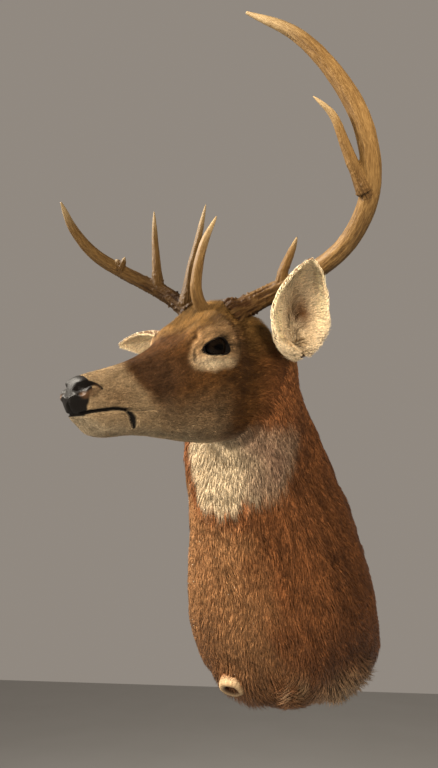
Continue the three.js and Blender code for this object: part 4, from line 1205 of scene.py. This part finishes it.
BEAM_RADIUS = monotone([(0, 15), (0.04, 14), (0.1, 13.2), (0.3, 12), (0.6, 11.2), (0.8, 8.6), (0.93, 5.6), (1, 2)])
BURR = {"at": 0.012, "width": 0.014, "rise": 6.5, "beads": 13, "bead": 1.6}
TINE = {"root": 1.35, "flare": 0.16, "taper": 0.35, "bluntness": 3.2, "point": 0.02}
PEDICLE = {"length": 30.0, "radius": 14.5, "steps": 12}
ANTLER_VOXEL = 1.25
BLOCK = 20000                                      # points that are compared with a rod at a time
ANTLER_NODES = ("beam_1", "beam_2", "beam_3", "brow_tine", "second_tine", "third_tine")
ANTLERS = {
    "antler_left": {
        "scale": 1.0, "tone": 0.69,
        "beam": [(251, 35, 110), (295, 77, 134), (310, 137, 153), (298, 196, 178), (275, 239, 223), (252, 249, 284),
                 (231, 232, 344), (210, 199, 397), (190, 150, 437)],
        "tines": [
            (9.0, [(246, 30, 110), (233, 19, 113), (223, 12, 124), (214, 13, 145), (214, 17, 166),
                   (223, 27, 205), (246, 37, 245)]),
            (7.0, [(302, 90, 140), (298, 98, 160), (314, 104, 186), (338, 104, 213)]),
            (7.2, [(269, 236, 221), (255, 231, 248), (243, 227, 277), (231, 222, 305), (219, 206, 329)]),
        ],
    },
    # Painted shade: the right antler's tone is below the left's, though both are the same bone.
    "antler_right": {
        "scale": 0.82, "tone": 0.52,
        "beam": [(247, -29, 123), (240, -59, 152), (227, -91, 176), (207, -121, 200), (182, -143, 226),
                 (158, -153, 259), (137, -150, 296)],
        "tines": [
            (7.4, [(243, -33, 134), (252, -24, 184), (264, -13, 230), (278, -4, 279)]),
            (6.6, [(234, -74, 167), (235, -73, 205), (237, -72, 243), (239, -70, 281)]),
            (5.2, [(204, -116, 200), (206, -110, 211), (207, -107, 217)]),
            (4.4, [(204, -116, 200), (203, -116, 209), (200, -120, 216)]),
        ],
    },
}


def through(points, fine=24):
    """The centripetal Catmull-Rom curve through points, its ends carried on past them, as a fine line of points."""
    points = np.array([on_head(*point) for point in points])
    points = np.vstack([2 * points[0] - points[1], points, 2 * points[-1] - points[-2]])
    gap = np.maximum(np.linalg.norm(np.diff(points, axis=0), axis=1) ** 0.5, 1e-4)
    u = np.linspace(0, 1, fine, endpoint=False)[:, None]
    lengths = []
    for i in range(1, len(points) - 2):
        p0, p1, p2, p3 = points[i - 1:i + 3]
        g0, g1, g2 = gap[i - 1:i + 2]
        start = ((p1 - p0) / g0 - (p2 - p0) / (g0 + g1) + (p2 - p1) / g1) * g1
        end = ((p2 - p1) / g1 - (p3 - p1) / (g1 + g2) + (p3 - p2) / g2) * g1
        lengths.append((2 * u ** 3 - 3 * u ** 2 + 1) * p1 + (u ** 3 - 2 * u ** 2 + u) * start
                       + (3 * u ** 2 - 2 * u ** 3) * p2 + (u ** 3 - u ** 2) * end)
    return np.vstack(lengths + [points[-2:-1]])


def even_line(line, step):
    """A line of points at even steps of its length, with the share of the length at each."""
    run = np.r_[0, np.cumsum(np.linalg.norm(np.diff(line, axis=0), axis=1))]
    share = np.linspace(0, 1, int(run[-1] / step) + 2)
    return np.column_stack([np.interp(share * run[-1], run, line[:, k]) for k in range(3)]), share, run[-1]


def carried_ring(line, radius, around):
    """A round section carried along a line without twisting; radius gives its size at each step and angle."""
    tangent = unit(np.gradient(line, axis=0))
    up = np.zeros_like(line)
    now = np.array([0.3, 0.2, 1.0])
    for i, way in enumerate(tangent):
        now = unit(now - (now @ way) * way)
        up[i] = now
    side = np.cross(tangent, up)
    angle = np.linspace(0, 2 * np.pi, around, endpoint=False)
    size = radius(angle)[..., None]
    return line[:, None] + size * (up[:, None] * np.cos(angle)[:, None] - side[:, None] * np.sin(angle)[:, None])


def plain_rod(line, share, size, around, whole):
    """A rod with a round section of these sizes, as (line, share, size, ring grid, whole length)."""
    return line, share, size, carried_ring(line, lambda angle: size[:, None] + 0 * angle, around), whole


def antler_rods(plan):
    """The beam with its burr and stalk, and each tine with its flared root, as (line, share, radius at each step,
    ring grid, whole length). A tine's root is wider than its shaft, and its point is an ellipsoid's end."""
    line, share, whole = even_line(through(plan["beam"]), 1.5)
    scale = plan["scale"]
    burr = bell(share - BURR["at"], BURR["width"])
    plain = scale * (BEAM_RADIUS(share) + burr * BURR["rise"])

    def beam_radius(angle):
        knobs = np.cos(BURR["beads"] * angle) + 0.6 * np.sin(7 * angle + 1) + 0.5 * np.cos(22 * angle + 2)
        return plain[:, None] + scale * burr[:, None] * BURR["bead"] * knobs

    rods = [(line, share, plain, carried_ring(line, beam_radius, 96), whole)]
    stalk = line[0] + np.outer(np.linspace(PEDICLE["length"], 0, PEDICLE["steps"]), unit(line[0] - line[1]))
    rods.append(plain_rod(stalk, np.zeros(PEDICLE["steps"]),
                          np.full(PEDICLE["steps"], scale * PEDICLE["radius"]), 40, PEDICLE["length"]))
    for radius, points in plan["tines"]:
        line, share, whole = even_line(through(points), 1.2)
        flare = 1 + (TINE["root"] - 1) * bell(share, TINE["flare"])
        size = radius * flare * (1 - TINE["taper"] * share) * np.sqrt(
            np.maximum(1 - share ** TINE["bluntness"], TINE["point"]))
        rods.append(plain_rod(line, share, size, 48, whole))
    return rods


def baked(piece):
    """Applies a piece's modifiers: its finished mesh takes the place of the one it was made from."""
    finished = bpy.data.meshes.new_from_object(piece.evaluated_get(bpy.context.evaluated_depsgraph_get()))
    old = piece.data
    piece.modifiers.clear()
    piece.data = finished
    bpy.data.meshes.remove(old)
    finished.name = piece.name


def from_mesh(mesh, field):
    """A vector of each vertex of a mesh, as rows."""
    values = np.empty(len(mesh.vertices) * 3, np.float32)
    mesh.vertices.foreach_get(field, values)
    return values.reshape(-1, 3)


def beside_rods(points, rods):
    """For each point of an antler's skin, by the rod whose surface is nearest: how far along it in mm, the rod's
    number, the direction round it as (cosine, sine), and the share of its length."""
    count = len(points)
    best = np.full(count, 1e9)
    along, kind, turn, base = np.zeros(count), np.zeros(count), np.zeros((count, 2)), np.zeros(count)
    for index, (line, share, size, ring, whole) in enumerate(rods):
        ways = unit(np.gradient(line, axis=0))
        ups = unit(ring[:, 0] - line)
        for begin in range(0, count, BLOCK):
            block = slice(begin, begin + BLOCK)
            gap = np.linalg.norm(points[block, None] - line[None], axis=-1)
            nearest = gap.argmin(axis=1)
            past = gap[np.arange(len(nearest)), nearest] - size[nearest]
            closer = past < best[block]
            where = np.flatnonzero(closer) + begin
            chosen = nearest[closer]
            best[where] = past[closer]
            along[where] = share[chosen] * whole
            kind[where] = index
            base[where] = share[chosen]
            off = points[where] - line[chosen]
            up = ups[chosen]
            side = np.cross(ways[chosen], up)
            flat = np.stack([(off * up).sum(-1), (off * side).sum(-1)], -1)
            turn[where] = flat / np.maximum(np.linalg.norm(flat, axis=1, keepdims=True), 1e-6)
    return along, kind, turn, base


def antler(name, material):
    """One antler: its rods joined into one skin by remeshing, smoothed, then ridged along the grain of the bone.
    Rods 0 and 1 are the beam and its stalk, and the others are tines."""
    plan = ANTLERS[name]
    rods = antler_rods(plan)
    piece = make_mesh(name, *joined([capped_tube(ring) for _, _, _, ring, _ in rods]))
    remesh = piece.modifiers.new("Join", "REMESH")
    remesh.mode, remesh.voxel_size = "VOXEL", ANTLER_VOXEL * MM
    soften = piece.modifiers.new("Soften", "SMOOTH")
    soften.factor, soften.iterations = 0.5, 3
    baked(piece)
    mesh = piece.data
    points, normals = from_mesh(mesh, "co") / MM, from_mesh(mesh, "normal")
    along, kind, turn, base = beside_rods(points, rods)
    tine = kind > 1.5
    low = smooth(170, 20, along) * (kind < 1.5) + tine * smooth(80, 0, along) * 0.6
    ridges = 1 - 2 * np.abs(noise(np.column_stack([turn * 4.5, along / 26 + kind * 17]), 81))
    fine = 1 - 2 * np.abs(noise(np.column_stack([turn * 10, along / 14 + kind * 9]), 82))
    pearls = np.maximum(noise(points / 3.2, 83) - 0.25, 0) * 2
    polish = np.where(tine, smooth(0.95, 0.7, base), smooth(1.0, 0.85, base))
    lift = (0.7 * ridges + 0.3 * fine) * polish * (0.7 + 1.3 * low) + 2.0 * pearls * low ** 1.5
    points = points + normals * (lift - 0.25)[:, None]
    mesh.vertices.foreach_set("co", (points * MM).astype(np.float32).ravel())
    dark = np.clip(low * 0.95 + 0.18 * noise(points / 22, 84) - 0.35 * ridges * low, 0, 1)
    tip = np.where(tine, smooth(0.55, 0.97, base), smooth(0.82, 0.98, base)) * 0.8
    colour = mix(mix(hue("horn"), hue("horn_dark"), dark), hue("horn_tip"), tip)
    groove = np.clip(0.5 - 0.5 * (0.7 * ridges + 0.3 * fine), 0, 1) * polish
    # tone darkens the whole antler; on the right antler it is partly painted shade.
    colour = mix(colour, hue("horn_dark") * 0.6, 0.7 * groove) * plan["tone"]
    keep_at_points(mesh, "Bone", np.clip(colour, 0, 1))
    keep_at_points(mesh, "Grain", np.column_stack([turn * 9, along / 7]), "FLOAT_VECTOR")
    mesh.polygons.foreach_set("use_smooth", np.ones(len(mesh.polygons), bool))
    mesh.update()
    finish_piece(piece, material, "antler", *[f"{name}_{part}" for part in ANTLER_NODES])
    return len(points)


# ---- eyes ---------------------------------------------------------------------------------------------------------

def eye_ball(side, material):
    """A glass eye: a ball turned about its gaze, bulging a little in front. Its pupil is a wide slot, and its iris
    is dark brown with fibres, darkest at its rim."""
    centre, gaze, front, up = eye_frame(side)
    rise = np.linspace(0.012, np.pi - 0.012, 60)[:, None]
    turn = np.linspace(0, 2 * np.pi, 96, endpoint=False)
    out = np.cos(rise) + 0 * turn
    x, y = np.sin(rise) * np.cos(turn), np.sin(rise) * np.sin(turn)
    bulge = 1 + 0.03 * bell(np.sin(rise), 0.55) * (out > 0)
    direction = x[..., None] * front + y[..., None] * up + out[..., None] * gaze
    points = centre + EYE["radius"] * bulge[..., None] * direction
    slot, reach = np.hypot(x / 0.42, y / 0.20), np.hypot(x, y)
    fibres = noise(np.stack([np.cos(turn) * 9 + 0 * rise, np.sin(turn) * 9 + 0 * rise, reach * 2.2], -1), 91)
    colour = mix(hue("iris"), hue("iris") * 2.6, (0.5 + 0.5 * fibres) * smooth(1.0, 1.4, slot))
    colour = mix(colour, hue("iris") * 0.1, smooth(1.12, 0.94, slot))
    colour = mix(colour, hue("iris") * 0.15, smooth(0.66, 0.78, reach))
    if np.dot(np.cross(front, up), gaze) >= 0:
        points, colour = points[:, ::-1], colour[:, ::-1]
    vertices, *faces = capped_tube(points)
    tints = np.vstack([colour.reshape(-1, 3), colour[0].mean(axis=0), colour[-1].mean(axis=0)])
    label = "left" if side > 0 else "right"
    piece = make_mesh("eye_ball_" + label, vertices, faces, [("Iris", np.clip(tints, 0, 1))])
    finish_piece(piece, material, "eye_glass", "eye_" + label)


# ---- materials ----------------------------------------------------------------------------------------------------

def hide_material():
    """The skin between the hairs: the coat's own colour with fine streaks, and pebbled, moister bare skin."""
    material, tree, shader = new_material("hide", {"Specular IOR Level": 0.12})
    colour, bare = attribute(tree, "Coat", 0), attribute(tree, "Bare", 2)
    streak = grain(tree, 1.0, 4.0, attribute(tree, "Lie", 1))
    pebble = node(tree, "ShaderNodeTexVoronoi", {"feature": "F1"}, {"Vector": place(tree), "Scale": 900.0})
    haired = tinted(tree, colour, streak.clamped(0.35, 0.7), (0.55, 0.5, 0.45), (1.15, 1.12, 1.1))
    height = streak * (1 - bare) + pebble * bare
    feed(tree, shader, Base_Color=mixed(tree, bare, haired, colour),
         Roughness=bare * -0.2 + streak * 0.2 + 0.66, Normal=bump(tree, height, 0.45, 0.0003))
    return material


def hair_material(name, roughness):
    """Hair: each tuft's own colour, broken along its length, with a soft sheen."""
    material, tree, shader = new_material(name, {"Specular IOR Level": 0.25})
    colour = attribute(tree, "Coat", 0)
    speck = grain(tree, 420.0, 3.0)
    base = tinted(tree, colour, speck.clamped(0.3, 0.7), (0.72, 0.69, 0.66), (1.16, 1.13, 1.1))
    feed(tree, shader, Base_Color=base, Roughness=speck * 0.2 + (roughness - 0.1),
         Normal=bump(tree, speck, 0.25, 0.0003))
    return material


def bone_material():
    """Bone: dark and grooved near the burr, paler and smoother towards each tip, with grain along the beam."""
    material, tree, shader = new_material("bone", {"Specular IOR Level": 0.18})
    colour = attribute(tree, "Bone", 0)
    along = grain(tree, 1.0, 5.0, attribute(tree, "Grain", 1))
    pores = grain(tree, 900.0, 2.0)
    base = tinted(tree, colour, along.clamped(0.3, 0.72), (0.62, 0.55, 0.48), (1.14, 1.12, 1.1))
    feed(tree, shader, Base_Color=base, Roughness=along * 0.25 + 0.45,
         Normal=bump(tree, along + pores * 0.25, 0.55, 0.0009))
    return material


def glass_material():
    """The eye: dark glass with a hard clear coat."""
    material, tree, shader = new_material("eye_glass", {"Coat Weight": 0.16, "Coat Roughness": 0.03,
                                                        "Specular IOR Level": 0.0})
    colour = attribute(tree, "Iris", 0)
    haze = grain(tree, 300.0, 2.0)
    feed(tree, shader, Base_Color=mixed(tree, haze.clamped(0.4, 0.9) * 0.5, colour, (0.002, 0.001, 0.001)),
         Roughness=haze * 0.08 + 0.06)
    return material


def plywood_material():
    """Plywood: long pale grain on the face, with darker lines."""
    material, tree, shader = new_material("plywood", {"Specular IOR Level": 0.3})
    where = node(tree, "ShaderNodeMapping", {}, {"Vector": place(tree), "Scale": (38.0, 38.0, 3.5)})
    rings = grain(tree, 1.4, 6.0, where)
    fibre = grain(tree, 9.0, 4.0, where)
    share = rings.clamped(0.35, 0.68)
    base = mixed(tree, share, tuple(tone("#8a6238")), tuple(tone("#cfa877")))
    base = mixed(tree, fibre.clamped(0.35, 0.75) * 0.35, base, tuple(tone("#6d4a29")))
    feed(tree, shader, Base_Color=base, Roughness=fibre * 0.25 + 0.55, Normal=bump(tree, fibre, 0.4, 0.0005))
    return material


def steel_material():
    """Zinc-plated steel: brushed one way, with faint blotches."""
    material, tree, shader = new_material("steel", {"Metallic": 1.0})
    where = node(tree, "ShaderNodeMapping", {}, {"Vector": place(tree), "Scale": (20.0, 600.0, 600.0)})
    brush, blotch = grain(tree, 2.0, 4.0, where), grain(tree, 60.0, 3.0)
    base = mixed(tree, blotch.clamped(0.35, 0.7), tuple(tone("#8f9196")), tuple(tone("#b9babd")))
    feed(tree, shader, Base_Color=base, Roughness=brush * 0.3 + 0.22, Normal=bump(tree, brush, 0.2, 0.0002))
    return material


def floor_material():
    """A plain grey floor with faint clouds."""
    material, tree, shader = new_material("floor", {"Specular IOR Level": 0.2})
    cloud = grain(tree, 1.3, 3.0)
    feed(tree, shader, Base_Color=mixed(tree, cloud, (0.42, 0.415, 0.40), (0.47, 0.465, 0.455)),
         Roughness=cloud * 0.1 + 0.7)
    return material


# ---- the operators ------------------------------------------------------------------------------------------------

FLESH = ["head", "neck", "trunk", "hide_edge", "ear_left", "ear_right", "foreleg_stump_left", "foreleg_stump_right"]


def closed_at_the_wall(body):
    """The body's grid with two rings before its first: round the board's edge, behind the hide and then in front."""
    first = body["points"][0]
    reach = np.where(first[:, 2] > 0, BOARD["up"], BOARD["down"])
    angle = np.arctan2(first[:, 2] / reach, first[:, 0] / BOARD["half"])
    outline = board_ring(angle, BOARD["clear"])
    behind = np.column_stack([outline[:, 0], np.full(len(outline), -WALL_CLEAR), outline[:, 1]])
    front = behind * [1, 0, 1] - [0, BOARD["thick"] + BOARD["clear"], 0]
    rings = [front, behind, (behind + first) / 2]
    return np.concatenate([np.array(rings), body["points"]])


# Each part's own place on the skin's map: left, bottom, width and height.
MAP_PLACES = {
    "body": (0.0, 0.0, 0.78, 1.0),
    "ear_left": (0.79, 0.0, 0.2, 0.3), "ear_right": (0.79, 0.31, 0.2, 0.3),
    "stump_left": (0.79, 0.62, 0.1, 0.17), "stump_right": (0.9, 0.62, 0.09, 0.17),
    "lids_left": (0.79, 0.8, 0.1, 0.19), "lids_right": (0.9, 0.8, 0.09, 0.19),
}


def skin_piece():
    """The grids of the skin as one mesh. Its map unrolls each grid, and Lie follows the hair for fine streaks."""
    shells, colours, bares, lies, places = [], [], [], [], []
    for name, grid in skin_grids().items():
        points, colour, bare = grid["points"], grid["colour"], grid["bare"]
        if name == "body":
            points = closed_at_the_wall(grid)
            extra = len(points) - len(colour)
            colour = np.concatenate([np.repeat(colour[:1] * 0.9, extra, axis=0), colour])
            bare = np.concatenate([np.repeat(bare[:1], extra, axis=0), bare])
        rows, columns = bare.shape
        i, j = np.meshgrid(np.arange(rows), np.arange(columns), indexing="ij")
        turn = 2 * np.pi * j / columns
        lie = np.stack([np.cos(turn) * 16, np.sin(turn) * 16, i * 0.05], -1)
        x, y, wide, high = MAP_PLACES[name]
        flat = np.stack([x + wide * (j + 0.5) / columns, y + high * (i + 0.5) / rows], -1)
        ends = [] if grid.get("looped") else [0, -1]
        if ends:
            shells.append(capped_tube(points))
        else:
            shells.append((points.reshape(-1, 3), grid_faces(rows, columns), np.zeros((0, 3), int)))
        for store, values in ((colours, colour), (lies, lie), (places, flat)):
            means = [values[end].mean(axis=0) for end in ends]
            store.append(np.vstack([values.reshape(-1, values.shape[-1])] + means))
        bares.append(np.r_[bare.ravel(), [bare[end].mean() for end in ends]])
    # Painted shade: the skin between the tufts gets 0.8 of the coat's colour, as the coat is shaded deep down.
    attributes = [("Coat", np.vstack(colours) * 0.8), ("Bare", np.concatenate(bares)), ("Lie", np.vstack(lies))]
    return make_mesh("skin", *joined(shells), attributes, [("OFBake", np.vstack(places))])


class DEER_OT_skin(bpy.types.Operator):
    """Makes the skin: trunk, neck, head, ears and the rolled ends of the legs, inside the coat by its depth"""
    bl_idname = "deer.skin"
    bl_label = "Skin"

    def execute(self, context):
        finish_piece(skin_piece(), hide_material(), "neck_hide", *FLESH)
        return {"FINISHED"}


ZONE_EDGES = (0, 110, 215, 470, NOSE_END + 1)      # distances t between trunk, shoulder, neck and head
# Each zone's rings to a tuft, its material and its slot, from the wall to the nose.
ZONES = {"trunk": (2, "long_hair", "trunk_hide"), "shoulder": (2, "long_hair", "trunk_hide"),
         "neck": (2, "long_hair", "neck_hide"), "head": (1, "short_hair", "face_hide")}
EAR_SEED = 50                                      # the ears' draws start this far after the coat's seed


class DEER_OT_coat(bpy.types.Operator):
    """Grows the coat: overlapping tufts in the lie of the hair, shortest on the muzzle and longest on the neck"""
    bl_idname = "deer.coat"
    bl_label = "Coat"

    def execute(self, context):
        grids = skin_grids()
        body = grids["body"]
        growth = body_growth(body)
        t, left = body["t"], body["v"] < THROAT
        materials = {name: hair_material(name, roughness)
                     for name, roughness in (("long_hair", 0.62), ("short_hair", 0.6))}
        seed = coat().seed
        for zone_index, (zone, (rings, material, slot)) in enumerate(ZONES.items()):
            inside = (t >= ZONE_EDGES[zone_index]) & (t < ZONE_EDGES[zone_index + 1])
            for side_index, side in enumerate(("left", "right")):
                half = left if side == "left" else ~left
                parts = [(body, within(growth, inside & half))]
                if zone == "trunk":
                    stump = grids["stump_" + side]
                    parts.append((stump, stump_growth(stump)))
                draws = np.random.default_rng(seed + 10 * zone_index + side_index)
                coat_piece(f"coat_{zone}_{side}", parts, draws, rings, materials[material], slot)
        for side_index, side in enumerate(("left", "right")):
            ear = grids["ear_" + side]
            draws = np.random.default_rng(seed + EAR_SEED + side_index)
            coat_piece("coat_ear_" + side, [(ear, ear_growth(ear))], draws, 2, materials["short_hair"], "ear_hide")
        return {"FINISHED"}


class DEER_OT_eyes(bpy.types.Operator):
    """Makes the two glass eyes"""
    bl_idname = "deer.eyes"
    bl_label = "Glass Eyes"

    def execute(self, context):
        glass = glass_material()
        for side in (1, -1):
            eye_ball(side, glass)
        return {"FINISHED"}


class DEER_OT_antlers(bpy.types.Operator):
    """Makes the two antlers, each as one skin of bone with ridges, pearls and a burr"""
    bl_idname = "deer.antlers"
    bl_label = "Antlers"

    def execute(self, context):
        bone = bone_material()
        for name in ANTLERS:
            if not antler(name, bone):
                raise RuntimeError(f"{name} has no surface")
        return {"FINISHED"}


class DEER_OT_mounting(bpy.types.Operator):
    """Finishes the board as plywood and the hanger as brushed steel"""
    bl_idname = "deer.mounting"
    bl_label = "Board and Hanger"

    def execute(self, context):
        for name, material in (("board", plywood_material()), ("hanger", steel_material())):
            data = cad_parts[name].data
            data.materials.clear()
            data.materials.append(material)
        return {"FINISHED"}


FLOOR = {"height": -1.55, "half": 9.0}
CAMERA = {"at": (0.230, -1.08, -0.05), "turn": 18.5, "rise": 20.4, "roll": -1.2, "pixels": 560.0,
          "frame": (438, 768)}
STUDIO = {"colour": (0.86, 0.76, 0.66, 1), "strength": 0.33}
LAMPS = {
    "key": {"azimuth": -58, "elevation": 38, "distance": 2.6, "size": 0.6, "power": 270,
            "colour": (1.0, 0.92, 0.80)},
    "front": {"azimuth": -30, "elevation": -8, "distance": 2.4, "size": 0.9, "power": 58,
              "colour": (1.0, 0.91, 0.79), "target": (0.05, -0.45, 0.3)},
    "fill": {"azimuth": 30, "elevation": 6, "distance": 0.62, "size": 0.3, "power": 7,
             "colour": (1.0, 0.90, 0.76), "target": (0.13, -0.43, 0.31)},
    "back": {"azimuth": 160, "elevation": 40, "distance": 3.0, "size": 2.0, "power": 40,
             "colour": (0.95, 0.97, 1.0)},
}


def placed(name, data, axes, at):
    """An object of the scene from its data, its three axes as columns, and its place in metres."""
    made = bpy.data.objects.new(name, data)
    bpy.context.scene.collection.objects.link(made)
    matrix = np.eye(4)
    matrix[:3, :3] = np.column_stack(axes)
    matrix[:3, 3] = at
    made.matrix_world = Matrix(matrix.tolist())
    return made


def area_light(name, azimuth, elevation, distance, size, power, colour, target=(0.0, -0.3, 0.15)):
    """A round lamp aimed at the target, from a distance in metres at this azimuth and elevation in degrees."""
    a, e = np.radians([azimuth, elevation])
    way = np.array([np.sin(a) * np.cos(e), -np.cos(a) * np.cos(e), np.sin(e)])
    data = bpy.data.lights.new(name, "AREA")
    data.shape, data.size, data.energy, data.color = "DISK", size, power, colour
    right = unit(np.cross([0, 0, 1], way))
    lamp = placed(name, data, [right, np.cross(way, right), way], np.array(target) + way * distance)
    lamp.visible_camera = False
    lamp.visible_glossy = name == "key"


def studio_camera():
    """The camera: it looks along its turn and rise, and is then rolled about that direction."""
    turn, rise, roll = np.radians([CAMERA["turn"], CAMERA["rise"], CAMERA["roll"]])
    level = np.array([-np.sin(turn), np.cos(turn), 0])
    ahead = np.cos(rise) * level + np.sin(rise) * np.array([0, 0, 1.0])
    across = unit(np.cross(level, [0, 0, 1.0]))
    above = np.cross(across, ahead)
    right = np.cos(roll) * across + np.sin(roll) * above
    up = -np.sin(roll) * across + np.cos(roll) * above
    data = bpy.data.cameras.new("camera")
    data.sensor_width, data.sensor_fit = 36.0, "AUTO"
    data.lens = CAMERA["pixels"] * data.sensor_width / max(CAMERA["frame"])
    data.clip_start, data.clip_end = 0.02, 50.0
    return placed("camera", data, [right, up, -ahead], CAMERA["at"])


class DEER_OT_stage(bpy.types.Operator):
    """Makes the floor, the soft studio light and the camera"""
    bl_idname = "deer.stage"
    bl_label = "Stage"

    def execute(self, context):
        scene = bpy.context.scene
        half, height = FLOOR["half"] / MM, FLOOR["height"] / MM
        corners = np.array([[x * half, y * half, height] for x, y in ((-1, -1), (1, -1), (1, 1), (-1, 1))])
        floor = make_mesh("floor", corners, [np.array([[0, 1, 2, 3]])])
        floor.data.materials.append(floor_material())
        world = bpy.data.worlds.new("studio")
        world.use_nodes = True
        back = world.node_tree.nodes["Background"]
        back.inputs["Color"].default_value = STUDIO["colour"]
        back.inputs["Strength"].default_value = STUDIO["strength"]
        scene.world = world
        for name, plan in LAMPS.items():
            area_light(name, **plan)
        scene.camera = studio_camera()
        scene.view_settings.view_transform = "Standard"
        return {"FINISHED"}


class DEER_PT_mount(bpy.types.Panel):
    """The steps that make the mount, and the sizes and colours they read"""
    bl_idname = "DEER_PT_mount"
    bl_label = "Deer Mount"
    bl_space_type = "VIEW_3D"
    bl_region_type = "UI"
    bl_category = "Deer Mount"

    def draw(self, context):
        for step in STEPS:
            self.layout.operator(step.bl_idname)
        for group in (context.scene.deer_mount.coat, context.scene.deer_mount.colours):
            box = self.layout.box()
            for key in group.bl_rna.properties.keys()[2:]:
                box.prop(group, key)


STEPS = (DEER_OT_skin, DEER_OT_coat, DEER_OT_eyes, DEER_OT_antlers, DEER_OT_mounting, DEER_OT_stage)
CLASSES = (DEER_PG_coat, DEER_PG_colours, DEER_PG_mount, *STEPS, DEER_PT_mount)


def register():
    """Adds the classes and the scene's own settings."""
    for kind in CLASSES:
        bpy.utils.register_class(kind)
    bpy.types.Scene.deer_mount = bpy.props.PointerProperty(type=DEER_PG_mount, name="Deer Mount",
                                                           description="Sizes and colours of the mount")


def unregister():
    """Removes what register adds."""
    del bpy.types.Scene.deer_mount
    for kind in reversed(CLASSES):
        bpy.utils.unregister_class(kind)


def main():
    """Runs every step."""
    register()
    for step in STEPS:
        group, name = step.bl_idname.split(".")
        getattr(getattr(bpy.ops, group), name)()


if __name__ == "__main__":
    main()
